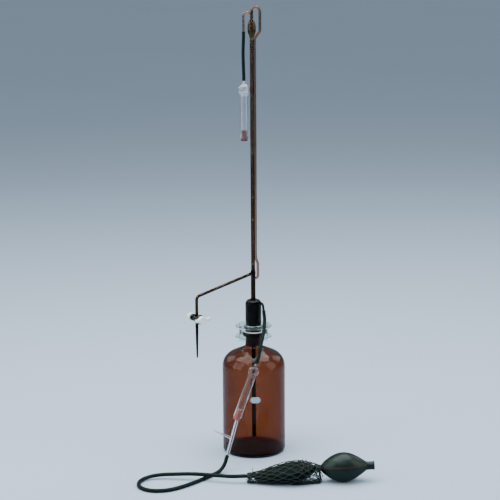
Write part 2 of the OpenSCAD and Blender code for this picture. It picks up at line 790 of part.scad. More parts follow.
// Clear plate with a slot, so that it slips on from one side, and two holes for the springs
module clamp_plate(bore, slot_turn) {
    color("lightcyan") difference() {
        lathe([[0, 0], [plate_d / 2 - plate_edge, 0], [plate_d / 2, plate_edge], [plate_d / 2, plate_t - plate_edge],
            [plate_d / 2 - plate_edge, plate_t], [0, plate_t]]);
        cylinder(d = bore, h = plate_t);
        rotate([0, 0, slot_turn]) translate([0, -bore / 2, 0]) cube([plate_d, bore, plate_t]);
        for (side = [-1, 1])
            translate([side * leg_reach, 0, 0]) cylinder(d = wire_d + 0.8, h = plate_t);
    }
}

// Plate on the head's flange, open at the back
module upper_clamp_plate() {
    translate([0, 0, upper_plate_z]) clamp_plate(chamber_d + 2 * plate_bore_gap, 90);
}

// Plate under the lip, open at the front
module lower_clamp_plate() {
    translate([0, 0, lower_plate_z]) clamp_plate(neck_d + 2 * plate_bore_gap, -90);
}

// Route of a spring from its lower hook through its curls to its upper hook, round its own axis
function hook(z, way) =
    [for (a = [0:45:180]) [spring_d / 2, hook_r + hook_r * cos(a), z + way * hook_r * sin(a)]];
spring_low = lower_plate_z - tail_len;
spring_high = upper_plate_z + plate_t + 1.4;
spring_low_part = concat([[spring_d / 2, 2 * hook_r, spring_low + 1.5]], hook(spring_low, -1),
    [[spring_d / 2, 0, lower_plate_z], [spring_d / 2, 0, coil_z - 0.7]]);
spring_coil = [for (i = [0:spring_curls * rings_per_curl])
    let (a = 360 * i / rings_per_curl, r = spring_d / 2)
    [r * cos(a), r * sin(a), coil_z + coil_pitch * i / rings_per_curl]];
coil_top = coil_z + coil_pitch * spring_curls;
spring_high_hook = hook(spring_high, 1);
spring_high_part = concat(
    [[spring_d / 2, 0, coil_top + 0.7], [spring_d / 2, 0, upper_plate_z + plate_t]],
    [for (i = [len(spring_high_hook) - 1:-1:0]) spring_high_hook[i]]);
spring_route = concat(spring_low_part, spring_coil, spring_high_part);
spring_normals = concat(
    [for (p = spring_low_part) [1, 0, 0]],
    [for (i = [0:spring_curls * rings_per_curl]) let (a = 360 * i / rings_per_curl) [cos(a), sin(a), 0]],
    [for (p = spring_high_part) [1, 0, 0]]);

// Least gap between curls that lie more than half a turn apart, and its report
spring_gap = min([for (i = [0:len(spring_route) - 1], j = [i + 5:1:len(spring_route) - 1])
    norm(spring_route[i] - spring_route[j])]) - wire_d;
echo(spring_gap = spring_gap);

// Tension spring as one unbroken wire
module clamp_spring() {
    t = directions(spring_route);
    n = [for (i = [0:len(t) - 1]) unit(spring_normals[i] - t[i] * (spring_normals[i] * t[i]))];
    last = len(spring_route) - 1;
    s = wire_sides;
    rings = [for (i = [0:last]) each ring(spring_route[i], t[i], n[i], wire_d / 2, s)];
    faces = concat(
        [for (i = [0:last - 1]) each band(i * s, (i + 1) * s, s)],
        [for (j = [1:s - 2]) [0, j, j + 1]],
        [for (j = [1:s - 2]) [last * s, last * s + j + 1, last * s + j]]);
    color("silver") polyhedron(rings, faces);
}

module left_clamp_spring() {
    rotate([0, 0, 180]) translate([spring_reach, 0, 0]) clamp_spring();
}

module right_clamp_spring() {
    translate([spring_reach, 0, 0]) clamp_spring();
}

// Hose from the vent tube down to the hanging drying tube
module vent_hose() {
    color("darkslategray") hose(vent_hose_route, vent_hose_d, max(vent_od, dry_neck_od) + 2 * hose_gap);
}

// Hose from the pressure arm down to the inlet drying tube
module pressure_hose() {
    color("darkslategray") hose(pressure_hose_route, pressure_hose_d, max(pressure_od, dry_neck_od) + 2 * hose_gap);
}

// Hose from the tee round its loop on the table to the bag
module bellows_hose() {
    color("darkslategray") hose(bellows_hose_route, bellows_hose_d, tee_end_od + 2 * hose_gap);
}

// Drying tube of clear glass, hanging down from its neck at the origin
module drying_tube() {
    w = dry_wall;
    r = dry_od / 2;
    bulb_r = dry_bulb_d / 2;
    neck_r2 = dry_neck_od / 2;
    bore_r = dry_neck_bore / 2;
    bulb_z = -dry_neck - bulb_r + 1;
    meet = asin(r / bulb_r * 0.86);
    neck_meet = asin((neck_r2 + 0.6) / bulb_r);
    flare = 0.6;
    waist_z = bulb_z - bulb_r * cos(meet) - 2;
    outside = concat(
        [[bore_r, hose_grip], [neck_r2, hose_grip], [neck_r2, bulb_z + bulb_r * cos(neck_meet) + 1]],
        arc(0, bulb_z, bulb_r, 90 - neck_meet, meet - 90, 14),
        [[r, waist_z - 3], [r, -dry_len + 10], [r + flare, -dry_len + 3], [r + flare, -dry_len]]);
    inside = concat(
        [[r - w, -dry_len], [r - w, waist_z - 3]],
        arc(0, bulb_z, bulb_r - w, meet - 90, 90 - neck_meet, 14),
        [[bore_r, bulb_z + bulb_r * cos(neck_meet) + 1]]);
    color("lightcyan") lathe(concat(outside, inside));
}

module vent_drying_tube() {
    at_vent_line() drying_tube();
}

module inlet_drying_tube() {
    at_inlet_line() drying_tube();
}

// Rubber stopper in the drying tube's open end
module stopper() {
    seat_r = dry_od / 2 - dry_wall - weld;
    translate([0, 0, -dry_len]) lathe([[0, -stopper_out], [seat_r - 1, -stopper_out], [seat_r, 1 - stopper_out],
        [seat_r, 1], [seat_r - 1.4, stopper_in], [0, stopper_in]]);
}

vent_stopper_bore = 4;

// Stopper bored along its axis
module vent_stopper() {
    color("brown") at_vent_line() difference() {
        stopper();
        translate([0, 0, -dry_len - stopper_out - 1]) cylinder(d = vent_stopper_bore, h = stopper_in + stopper_out + 2);
    }
}

// Stopper bored aslant, along the tee
module inlet_stopper() {
    bore_len = 2 * (stopper_in + stopper_out);
    color("indianred") difference() {
        at_inlet_line() stopper();
        at_tee() translate([0, 0, -bore_len / 2]) cylinder(d = tee_end_od + 2 * weld, h = bore_len);
    }
}

// Glass tee below the inlet stopper, with the fine side tube that a finger closes
module finger_vent_tee() {
    top = (stopper_in + stopper_out) / 2 + 3;
    shoulder = -(stopper_in + stopper_out) / 2 - 0.8;
    foot = -tee_len - hose_grip;
    end_r = tee_end_od / 2;
    r = tee_od / 2;
    finger_d = tee_od - 1;
    color("lightcyan") at_tee() difference() {
        union() {
            lathe([[0, top], [end_r, top], [end_r, shoulder], [r, shoulder - 2], [r, 4 - tee_len], [end_r, -tee_len],
                [end_r, foot], [0, foot]]);
            translate([0, 0, -tee_at]) rotate([0, finger_rise - 90, 0])
                cylinder(d1 = finger_d, d2 = finger_tip_d, h = finger_len);
        }
        translate([0, 0, foot - 1]) cylinder(d = tee_bore, h = top - foot + 2);
        translate([0, 0, -tee_at]) rotate([0, finger_rise - 90, 0])
            cylinder(d1 = finger_bore, d2 = finger_tip_bore, h = finger_len + 1);
    }
}

// Nipple between the bellows hose and the bag
module bag_nipple() {
    end_r = tee_end_od / 2;
    collar_r = nipple_collar_d / 2;
    color("gainsboro") at_bellows() translate([nipple_seat, 0, bag_foot_z]) rotate([0, 90, 0]) lathe([
        [nipple_bore / 2, -nipple_grip], [end_r, -nipple_grip], [end_r, 0], [collar_r, 0], [collar_r, nipple_collar_t],
        [end_r, nipple_collar_t], [end_r, nipple_collar_t + nipple_grip], [nipple_bore / 2, nipple_collar_t + nipple_grip]]);
}

// Fullness of the slack bag along its length: 0 at the hose, 1 at the hand bulb
bag_fullness = [[0, 0], [0.085, 0.46], [0.165, 0.63], [0.25, 0.76], [0.335, 0.85], [0.415, 0.915], [0.5, 0.96],
    [0.585, 0.985], [0.67, 1], [0.75, 1], [0.835, 0.95], [0.915, 0.7], [1, 0]];
function bag_swell(u) = lookup(u, bag_fullness);
function bag_half_w(u) = bag_neck_d / 2 + (bag_w / 2 - bag_neck_d / 2) * bag_swell(u);
function bag_half_h(u) = bag_neck_d / 2 + (bag_h / 2 - bag_neck_d / 2) * bag_swell(u);
function bag_mid_z(u) =
    let (lying = bag_half_h(u) + bag_rest, carried = bag_foot_z + (bag_top_z - bag_foot_z) * u, s = bag_swell(u))
    max(lying, lying * s + carried * (1 - s));

// Point on the bag's skin, grown outward by g, at the angle a round it
function bag_point(u, a, g = 0) = [
    bag_left + bag_len * u,
    (bag_half_w(u) + g) * cos(a),
    bag_mid_z(u) + (bag_half_h(u) + g) * sin(a)];

// Slack rubber bag that evens out the air, with a socket in each neck
module reservoir_bag() {
    sides = 2 * net_round;
    ends = concat(
        [[for (j = [0:sides - 1]) bag_point(0, 360 * j / sides) - [bag_neck_len, 0, 0]]],
        [for (i = [0:net_along]) [for (j = [0:sides - 1]) bag_point(i / net_along, 360 * j / sides)]],
        [[for (j = [0:sides - 1]) bag_point(1, 360 * j / sides) + [bag_neck_len, 0, 0]]]);
    last = len(ends) - 1;
    faces = concat(
        [for (i = [0:last - 1]) each crossed_band(i * sides, (i + 1) * sides, sides, i + 1)],
        [for (j = [1:sides - 2]) [0, j, j + 1]],
        [for (j = [1:sides - 2]) [last * sides, last * sides + j + 1, last * sides + j]]);
    color("darkslategray") difference() {
        at_bellows() polyhedron([for (e = ends) each e], faces);
        at_bellows() translate([bag_end, 0, bag_foot_z]) rotate([0, 90, 0])
            cylinder(d = tee_end_od + 2 * weld, h = nipple_grip + 1);
        at_hand_bulb() translate([0, 0, valve_foot - 1]) cylinder(d = valve_d + 2 * weld, h = 30);
    }
}

// Net of the bag: diamond meshes between nodes on rings, which are half a mesh out of step
net_cord_share = 0.2;
function net_place(i, k) = [i / net_along, (k + (i % 2) / 2) * 360 / net_round];
function net_point(place, g) =
    let (row = min(floor(place[0] * net_along), net_along - 1), t = place[0] * net_along - row)
    bag_point(row / net_along, place[1], g) * (1 - t) + bag_point((row + 1) / net_along, place[1], g) * t;
function net_id(i, k) = i * net_round + (k + net_round) % net_round;

// Net as one closed lattice: each mesh is a frame between its corners and its hole
module net_lattice() {
    n = net_round;
    low = net_gap;
    high = net_gap + net_t;
    corner_count = (net_along + 1) * n;
    cells = [for (i = [1:net_along - 1], k = [0:n - 1]) [i, k]];
    function corners(c) = let (i = c[0], k = c[1], m = k + i % 2)
        [[i - 1, m], [i, k], [i + 1, m], [i, k + 1]];
    function hole(c, g) = let (q = [for (p = corners(c)) net_place(p[0], p[1])], mid = (q[0] + q[1] + q[2] + q[3]) / 4)
        [for (p = q) net_point(p + (mid - p) * net_cord_share, g)];
    outer = [for (i = [0:net_along], k = [0:n - 1]) net_point(net_place(i, k), high)];
    inner = [for (i = [0:net_along], k = [0:n - 1]) net_point(net_place(i, k), low)];
    holes_out = [for (c = cells) each hole(c, high)];
    holes_in = [for (c = cells) each hole(c, low)];
    hole_out_from = 2 * corner_count;
    hole_in_from = hole_out_from + 4 * len(cells);
    faces = [for (q = [0:len(cells) - 1]) let (c = cells[q], ids = [for (p = corners(c)) net_id(p[0], p[1])])
        each [for (j = [0:3]) let (
            j2 = (j + 1) % 4, a = ids[j], b = ids[j2],
            ho = hole_out_from + 4 * q, hi = hole_in_from + 4 * q,
            edge = (c[0] == 1 && (j == 0 || j == 3)) || (c[0] == net_along - 1 && (j == 1 || j == 2)))
            each concat(
                [[a, b, ho + j2], [a, ho + j2, ho + j]],
                [[corner_count + a, hi + j2, corner_count + b], [corner_count + a, hi + j, hi + j2]],
                [[ho + j, ho + j2, hi + j2], [ho + j, hi + j2, hi + j]],
                edge ? [[b, a, corner_count + a], [b, corner_count + a, corner_count + b]] : [])]];
    polyhedron(concat(outer, inner, holes_out, holes_in), faces);
}

module bag_net() {
    color("darkgreen") at_bellows() net_lattice();
}

// Cord tied round the bag's neck beyond an end of the net
tie_d = 1.6;
tie_gap = 0.2;
module net_tie(u, way) {
    tie_r = bag_neck_d / 2 + tie_gap + tie_d / 2;
    color("darkgreen") at_bellows()
        translate([bag_left + bag_len * u + way * (tie_d / 2 + tie_gap), 0, bag_mid_z(u)]) rotate([0, 90, 0])
        rotate_extrude() translate([tie_r, 0]) circle(d = tie_d);
}

module left_net_tie() {
    net_tie(0, -1);
}

module right_net_tie() {
    net_tie(1, 1);
}

// Half profile of the hand bulb's outside along its axis, swelling by a cosine to each side, fuller on the bag's side
hand_steps = 14;
hand_swell = 0.8;
function hand_r(z) = z < 0
    ? outlet_neck_d / 2 + (hand_d / 2 - outlet_neck_d / 2) * pow(cos(90 * z / hand_half), hand_swell)
    : inlet_neck_d / 2 + (hand_d / 2 - inlet_neck_d / 2) * cos(90 * z / hand_half);

// Thick rubber bulb that the hand squeezes, with a neck at each end
module hand_bulb() {
    zs = [for (i = [-hand_steps:hand_steps]) hand_half * i / hand_steps];
    outside = concat(
        [[outlet_neck_d / 2, -hand_half - outlet_neck_len]],
        [for (z = zs) [hand_r(z), z]],
        [[inlet_neck_d / 2 - 0.5, hand_half + 3], [inlet_neck_d / 2 - 0.5, hand_half + inlet_neck_len - 3],
            [inlet_neck_d / 2, hand_half + inlet_neck_len - 2], [inlet_neck_d / 2, hand_half + inlet_neck_len]]);
    bore_r = valve_d / 2 + weld;
    inside = concat(
        [[bore_r, hand_half + inlet_neck_len], [bore_r, hand_half - 4]],
        [for (i = [hand_steps - 3:-1:3 - hand_steps]) let (z = hand_half * i / hand_steps) [hand_r(z) - hand_wall, z]],
        [[bore_r, 4 - hand_half], [bore_r, -hand_half - outlet_neck_len]]);
    color("darkslategray") at_hand_bulb() lathe(concat(outside, inside));
}

// Valve body with a seat, a chamber for its ball and a ported stop, lying along Z and open towards +Z
valve_len = 20;
seat_at = 7;
seat_d = ball_d - 1.4;
ball_at = seat_at + sqrt(ball_d * ball_d - seat_d * seat_d) / 2 + 0.1;
chamber_gap = 0.3;
module valve_body() {
    chamber_len = ball_at - seat_at + ball_d / 2 + ball_travel + 0.2;
    port_d = 1.3;
    ports = 4;
    difference() {
        cylinder(d = valve_d, h = valve_len);
        cylinder(d = seat_d, h = seat_at);
        translate([0, 0, seat_at]) cylinder(d = ball_d + 2 * chamber_gap, h = chamber_len);
        for (i = [0:ports - 1])
            rotate([0, 0, 360 * i / ports]) translate([ball_d / 2 - 0.5, 0, seat_at + 1])
                cylinder(d = port_d, h = valve_len);
    }
}

// Ball on its seat, clear of it by a hair
module valve_ball() {
    translate([0, 0, ball_at]) sphere(d = ball_d);
}

// The outlet valve lies in the necks of hand bulb and bag and opens towards the bag
valve_foot = bag_right - 2;
module at_outlet_valve() {
    at_hand_bulb() translate([0, 0, valve_foot + valve_len]) rotate([180, 0, 0]) children();
}

module outlet_valve_body() {
    color("lightsteelblue") at_outlet_valve() valve_body();
}

module outlet_valve_ball() {
    color("silver") at_outlet_valve() valve_ball();
}

// The inlet valve lies in the free neck and opens into the hand bulb
module at_inlet_valve() {
    at_hand_bulb() translate([0, 0, hand_half + inlet_neck_len - 1]) rotate([180, 0, 0]) children();
}

module inlet_valve_body() {
    color("lightsteelblue") at_inlet_valve() valve_body();
}

module inlet_valve_ball() {
    color("silver") at_inlet_valve() valve_ball();
}

reservoir_bottle();
burette_head();
dip_tube();
pressure_arm();
riser_stem();
burette_tube();
filling_tube();
zero_bulb();
zero_tip();
vent_tube();
side_arm();
stopcock_barrel();
jet_tip();
stopcock_key();
key_washer();
key_o_ring();
key_nut();
upper_clamp_plate();
lower_clamp_plate();
left_clamp_spring();
right_clamp_spring();
vent_hose();
vent_drying_tube();
vent_stopper();
pressure_hose();
inlet_drying_tube();
inlet_stopper();
finger_vent_tee();
bellows_hose();
bag_nipple();
reservoir_bag();
bag_net();
left_net_tie();
right_net_tie();
outlet_valve_body();
outlet_valve_ball();
hand_bulb();
inlet_valve_body();
inlet_valve_ball();
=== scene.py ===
"""Looks of an automatic burette: amber glass, white stopcock, drying tubes and a netted rubber bellows."""

import math
import random

import bmesh
import bpy
from mathutils import Matrix, Vector


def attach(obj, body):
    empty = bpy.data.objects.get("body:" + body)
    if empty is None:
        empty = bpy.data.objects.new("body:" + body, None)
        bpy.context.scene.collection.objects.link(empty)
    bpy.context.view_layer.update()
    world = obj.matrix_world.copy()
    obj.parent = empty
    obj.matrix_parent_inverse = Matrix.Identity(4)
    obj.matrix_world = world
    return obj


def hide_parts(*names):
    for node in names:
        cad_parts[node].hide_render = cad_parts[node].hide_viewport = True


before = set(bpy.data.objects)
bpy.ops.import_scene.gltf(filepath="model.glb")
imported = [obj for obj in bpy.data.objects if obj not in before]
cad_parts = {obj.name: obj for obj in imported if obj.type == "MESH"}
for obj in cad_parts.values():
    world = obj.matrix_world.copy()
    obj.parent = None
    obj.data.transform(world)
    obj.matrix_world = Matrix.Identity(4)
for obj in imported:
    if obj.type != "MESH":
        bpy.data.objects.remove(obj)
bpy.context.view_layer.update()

bl_info = {
    "name": "Automatic burette",
    "version": (1, 0, 0),
    "blender": (4, 5, 0),
    "location": "View3D > Sidebar > Burette",
    "description": "Dresses the packed automatic burette with glass, rubber, cord and print",
    "category": "Object",
}

MM = 0.001
ROOT = "burette_and_bottle"
KEY = "stopcock_key"

# The sizes below are those of the solids, in millimetres, and the turns are in degrees

# Reservoir bottle
LIP_Z = 264
NECK_FOOT = 235
BOTTLE_R = 66.5
BOTTLE_WALL = 3
BASE_T = 6
HEEL = 8
INNER_HEEL = 5
SHOULDER_R = 34
SHOULDER_TURN = 66
NECK_R = 17.5
NECK_FILLET = 8
INNER_NECK_TURN = 198
LIP_R = 24
LIP_H = 11.5
LIP_ROUND = 3.5
LIP_TOP_ROUND = 6
BASE_HOLLOW = [(0, 1.4), (38, 0.9), (46, 0.3), (50, 0)]
INNER_FLOOR = [(40, BASE_T + 0.3), (0, BASE_T + 1.8)]

# Ground joint, flange and air chamber; the joint narrows by one in JOINT_TAPER
JOINT_R = 14.6
JOINT_LEN = 32
JOINT_TAPER = 20
JOINT_FILM = 0.06
FLANGE_Z = 266
FLANGE_R = 21
FLANGE_H = 5
FLANGE_EDGE = 1.5
CHAMBER_R = 17
CHAMBER_TOP = 331
CHAMBER_ROUND = 9
HEAD_WALL = 2

# Dip tube, stem, measuring tube and zero bulb
DIP_R = 4.5
DIP_FOOT = 29
STEM_R = 4.9
STEM_BORE_R = 2.75
STEM_WELD_R = 5.8
STEM_TOP = 384
FOOT_R = 5.4
TUBE_R = 4.2
TUBE_BORE_R = 3
FOOT_SWELL = [(STEM_R, 0), (5.25, 1), (FOOT_R, 2.5), (FOOT_R, 5.5), (5.1, 7.5), (4.45, 10.5), (TUBE_R, 12.5)]
ZERO_Z = 881
ZERO_TOP = 918
NECK_TOP = 936
TOP_NECK_R = 3.2

# Filling tube, vent tube and pressure arm; a tube is thicker where it is welded on
FILLING_R = 2.8
FILLING_WELD_R = 3.6
FILLING_BORE_R = 1.5
FILLING_OFF = TUBE_R + FILLING_R + 0.1
FILLING_TURN = math.radians(37)
FILLING_BENDS = [5, 6, 8, 8, 8]
BYPASS_Z = 375
ARCH_R = 8.4
VENT_R = 2.35
VENT_WELD_R = 3
VENT_BORE_R = 1.35
VENT_REACH = 16.8
VENT_BEND = 7
VENT_TIP_Z = 894.5
PRESSURE_R = 2.5
PRESSURE_WELD_R = 3.4
PRESSURE_BORE_R = 1.5
PRESSURE_TURN = -43
PRESSURE_START = 15.2
PRESSURE_REACH = 27
PRESSURE_BEND = 8
PRESSURE_DROP = 15.5
PRESSURE_LEAN = math.radians(9)
GRIP = 8

# Side arm and stopcock
ARM_TURN = 215
ARM_REACH = 143
ARM_R = 3.15
ARM_WELD_R = 4.1
ARM_END_R = 4
ARM_BORE_R = 1.5
ARM_Z = 388
BEND_Z = 357
ARM_BEND = 9
COCK_Z = 311
COCK_HALF = 15
JET_LEN = 84

# Drying tubes and the tee
VENT_HOSE_DROP = 101
DRY_LEN = 119.5
INLET_TOP = Vector((5.5, -77, 212))
LEAN_FRONT = -19.4
LEAN_TUBE = 19.9
LEAN_TEE = 15.4
STOPPER_MID = 113.75
TEE_LEN = 85.5

# Clamp
PLATE_T = 4.5
UPPER_PLATE_Z = 271.3
LOWER_PLATE_Z = 247.7
SPRING_REACH = 27.5
SPRING_WIRE_R = 0.45

# Bellows
BELLOWS_PLACE = Vector((181, -208, 0))
BELLOWS_TURN = 2.5
HAND_TILT = 2
HAND_HALF = 46.5
HAND_R = 30
HAND_WALL = 3
HAND_SWELL = 0.8
HAND_NECK = 16.5
HAND_LEFT_R = 5.3
HAND_RIGHT_R = 9.0
HAND_BORE_R = 3.75
HAND_Z = HAND_R / math.cos(math.radians(HAND_TILT)) + 0.05
BAG_LEFT = -183.1
BAG_NECK_LEN = 9
BAG_NECK_R = 4.8
BAG_FOOT_Z = 15
NIPPLE_COLLAR = 2.8
NIPPLE_SEAT = BAG_LEFT - BAG_NECK_LEN - NIPPLE_COLLAR


def rotation(degrees, axis):
    """Turn about an axis through the origin."""
    return Matrix.Rotation(math.radians(degrees), 4, axis)


def leaning(left):
    """Turn of a tube that hangs down but leans to the left and to the front."""
    return rotation(LEAN_FRONT, "X") @ rotation(left, "Y")


INLET_PLACE = Matrix.Translation(INLET_TOP) @ leaning(LEAN_TUBE)
TEE_PIVOT = INLET_PLACE @ Vector((0, 0, -STOPPER_MID))
TEE_PLACE = Matrix.Translation(TEE_PIVOT) @ leaning(LEAN_TEE)
TEE_TIP = TEE_PLACE @ Vector((0, 0, -TEE_LEN))
VENT_PLACE = Matrix.Translation((-VENT_REACH, 0, VENT_TIP_Z - VENT_HOSE_DROP))
ARM_PLACE = rotation(ARM_TURN, "Z")
COCK_PLACE = ARM_PLACE @ Matrix.Translation((ARM_REACH, 0, COCK_Z)) @ rotation(-90, "X")
JET_PLACE = ARM_PLACE @ Matrix.Translation((ARM_REACH, 0, COCK_Z - JET_LEN))
BELLOWS_FRAME = Matrix.Translation(BELLOWS_PLACE) @ rotation(BELLOWS_TURN, "Z")
HAND_LIFT = Matrix.Translation((0, 0, HAND_Z))
HAND_FRAME = BELLOWS_FRAME @ HAND_LIFT @ rotation(-HAND_TILT, "Y") @ rotation(90, "Y")
PRESSURE_FRAME = rotation(PRESSURE_TURN, "Z")
PRESSURE_DIR = Vector((math.sin(PRESSURE_LEAN), 0, -math.cos(PRESSURE_LEAN)))
PRESSURE_KNEE = Vector((PRESSURE_REACH, 0, CHAMBER_TOP - 4))
PRESSURE_TIP = PRESSURE_FRAME @ (PRESSURE_KNEE + PRESSURE_DROP * PRESSURE_DIR)


# Mesh helpers. Points come in millimetres and meshes are in metres.

SAME_PLACE = 1e-7
ON_AXIS = 1e-6
STEEP = 0.9
GLASS_SIDES = 24
GLASS_STEPS = 14


class Shape:
    """Points and faces of a piece that is put together from several forms."""

    def __init__(self):
        self.points = []
        self.faces = []

    def add(self, points, faces):
        """Adds a form whose faces count from its own first point."""
        first = len(self.points)
        self.points += points
        self.faces += [tuple(first + v for v in face) for face in faces]


def mesh_object(name, points, faces, material, place=Matrix(), crease=40):
    """Smooth mesh with outward faces, whose edges sharper than crease degrees stay sharp."""
    mesh = bpy.data.meshes.new(name)
    mesh.from_pydata([tuple((place @ Vector(p)) * MM) for p in points], [], faces)
    work = bmesh.new()
    work.from_mesh(mesh)
    bmesh.ops.remove_doubles(work, verts=work.verts, dist=SAME_PLACE)
    bmesh.ops.recalc_face_normals(work, faces=work.faces)
    work.to_mesh(mesh)
    work.free()
    mesh.shade_smooth()
    mesh.set_sharp_from_angle(angle=math.radians(crease))
    mesh.materials.append(material)
    piece = bpy.data.objects.new(name, mesh)
    bpy.context.scene.collection.objects.link(piece)
    return piece


def dress(piece, slot, *nodes, body=ROOT):
    """Sets the piece on its body and hides the solids that it stands for; the slot is not used."""
    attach(piece, body)
    if nodes:
        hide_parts(*nodes)


def finish_node(node, material):
    """Gives a solid that stays in view its finish."""
    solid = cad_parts[node]
    solid.data.materials.clear()
    solid.data.materials.append(material)


def arc(cx, cy, r, start, stop, steps):
    """Points of a flat arc, with its angles in degrees."""
    turns = [math.radians(start + (stop - start) * i / steps) for i in range(steps + 1)]
    return [(cx + r * math.cos(a), cy + r * math.sin(a)) for a in turns]


def on_front(r, turn, up):
    """Point on an upright round piece, turned to the right from the middle of its front."""
    return (r * math.sin(turn), -r * math.cos(turn), up)


def band(a, b, count, closed=True):
    """Faces between two rows of points that start at a and b; closed rows join up with themselves."""
    faces = []
    for j in range(count if closed else count - 1):
        k = (j + 1) % count
        faces.append((a + j, a + k, b + k, b + j))
    return faces


def grid_faces(rows, count, closed=True, first=0):
    """Faces between each row of points and the next."""
    starts = range(first, first + (rows - 1) * count, count)
    return [face for a in starts for face in band(a, a + count, count, closed)]


def lathe_data(loop, segments):
    """Points and faces of a closed outline of (radius, height) turned about Z."""
    points, rings, faces = [], [], []
    turns = [2 * math.pi * j / segments for j in range(segments)]
    for r, z in loop:
        if r < ON_AXIS:
            rings.append([len(points)] * segments)
            points.append((0, 0, z))
            continue
        rings.append(list(range(len(points), len(points) + segments)))
        points += [(r * math.cos(a), r * math.sin(a), z) for a in turns]
    for low, high in zip(rings, rings[1:] + rings[:1]):
        for j in range(segments):
            k = (j + 1) % segments
            face = list(dict.fromkeys((low[j], low[k], high[k], high[j])))
            if len(face) > 2:
                faces.append(face)
    return points, faces


def lathe(name, loop, material, place=Matrix(), segments=48):
    """Piece turned about the Z axis of its place."""
    points, faces = lathe_data(loop, segments)
    return mesh_object(name, points, faces, material, place)


def frames_along(path):
    """Directions and untwisted normals along a path."""
    last = len(path) - 1
    ways = [(path[min(i + 1, last)] - path[max(i - 1, 0)]).normalized() for i in range(last + 1)]
    side = Vector((0, 0, 1)) if abs(ways[0].z) < STEEP else Vector((1, 0, 0))
    normals = []
    for way in ways:
        side = (side - way * side.dot(way)).normalized()
        normals.append(side)
    return ways, normals


def rings_along(path, size, sides):
    """Rings of points round a path; size is a radius or one radius a point."""
    sizes_along = size if isinstance(size, list) else [size] * len(path)
    turns = [2 * math.pi * j / sides for j in range(sides)]
    points = []
    for p, way, normal, r in zip(path, *frames_along(path), sizes_along):
        across = way.cross(normal)
        points += [p + r * (normal * math.cos(a) + across * math.sin(a)) for a in turns]
    return points


def sweep_data(path, radius, sides, bore=None):
    """Points and faces of a rod along a path, or of a tube where it has a bore."""
    count = len(path)
    end = (count - 1) * sides
    points = rings_along(path, radius, sides)
    faces = grid_faces(count, sides)
    if bore is None:
        faces.append(tuple(reversed(range(sides))))
        faces.append(tuple(range(end, end + sides)))
        return points, faces
    inner = len(points)
    points += rings_along(path, bore, sides)
    faces += [face[::-1] for face in grid_faces(count, sides, first=inner)]
    faces += band(inner, 0, sides) + band(end, inner + end, sides)
    return points, faces


def sweep(name, path, radius, material, sides, bore=None):
    """Rod or tube along a path."""
    points, faces = sweep_data(path, radius, sides, bore)
    return mesh_object(name, points, faces, material, crease=50)


def welded(path, weld, r):
    """Radii of a tube that is thicker where its path starts."""
    return [weld] + [r] * (len(path) - 1)


def bent_path(corners, bends, steps=GLASS_STEPS):
    """Path along straight lines with round bends at the inner corners."""
    corners = [Vector(c) for c in corners]
    path = [corners[0]]
    for i, bend in enumerate(bends, 1):
        before = (corners[i] - corners[i - 1]).normalized()
        after = (corners[i + 1] - corners[i]).normalized()
        turn = before.angle(after)
        inward = (after - before * math.cos(turn)).normalized()
        centre = corners[i] - before * bend * math.tan(turn / 2) + inward * bend
        for s in range(steps + 1):
            a = turn * s / steps
            path.append(centre - inward * bend * math.cos(a) + before * bend * math.sin(a))
    path.append(corners[-1])
    return path


def smooth_path(points, steps=6):
    """Smooth curve through points, with the same number of steps between any two of them."""
    points = [Vector(p) for p in points]
    ends = [2 * points[0] - points[1]] + points + [2 * points[-1] - points[-2]]
    path = []
    for a, b, c, d in zip(ends, ends[1:], ends[2:], ends[3:]):
        for s in range(steps):
            t = s / steps
            path.append(0.5 * (2 * b + (c - a) * t + (2 * a - 5 * b + 4 * c - d) * t * t
                               + (3 * b - a - 3 * c + d) * t * t * t))
    return path + [points[-1]]


def path_length(path):
    """Length of a path in millimetres."""
    return sum((b - a).length for a, b in zip(path, path[1:]))


# Shared effects, as node groups

NUMBER = "NodeSocketFloat"
COLOUR = "NodeSocketColor"
NORMAL = "NodeSocketVector"
GREY = (0.5, 0.5, 0.5, 1)
BLACK = (0, 0, 0, 1)
SHADER = "Principled BSDF"

# Sockets of a Mix node that mixes colours
MIX_FACTOR = 0
MIX_A = 6
MIX_B = 7
MIX_RESULT = 2


def new_group(name, inputs, output, kind, detail=3):
    """Effect with named inputs and one output, and the noise over the object that drives it."""
    group = bpy.data.node_groups.new(name, "ShaderNodeTree")
    for label, socket_type, default in inputs:
        socket = group.interface.new_socket(label, in_out="INPUT", socket_type=socket_type)
        socket.default_value = default
    group.interface.new_socket(output, in_out="OUTPUT", socket_type=kind)
    given = group.nodes.new("NodeGroupInput").outputs
    result = group.nodes.new("NodeGroupOutput").inputs[output]
    place = group.nodes.new("ShaderNodeTexCoord")
    noise = group.nodes.new("ShaderNodeTexNoise")
    noise.inputs["Detail"].default_value = detail
    group.links.new(place.outputs["Object"], noise.inputs["Vector"])
    group.links.new(given["Scale"], noise.inputs["Scale"])
    return group, given, result, noise.outputs["Fac"]


def spread_noise(group, noise, low, high):
    """Map Range node that spreads the noise between low and high over its whole range."""
    spread = group.nodes.new("ShaderNodeMapRange")
    spread.inputs["From Min"].default_value = low
    spread.inputs["From Max"].default_value = high
    group.links.new(noise, spread.inputs["Value"])
    return spread


def mottle_group(name):
    """Colour that wanders between two tones."""
    inputs = [("Scale", NUMBER, 40), ("Tone", COLOUR, GREY), ("Other Tone", COLOUR, GREY)]
    group, given, result, noise = new_group(name, inputs, "Color", COLOUR)
    spread = spread_noise(group, noise, 0.35, 0.68)
    mix = group.nodes.new("ShaderNodeMix")
    mix.data_type = "RGBA"
    group.links.new(spread.outputs["Result"], mix.inputs[MIX_FACTOR])
    group.links.new(given["Tone"], mix.inputs[MIX_A])
    group.links.new(given["Other Tone"], mix.inputs[MIX_B])
    group.links.new(mix.outputs[MIX_RESULT], result)
    return group


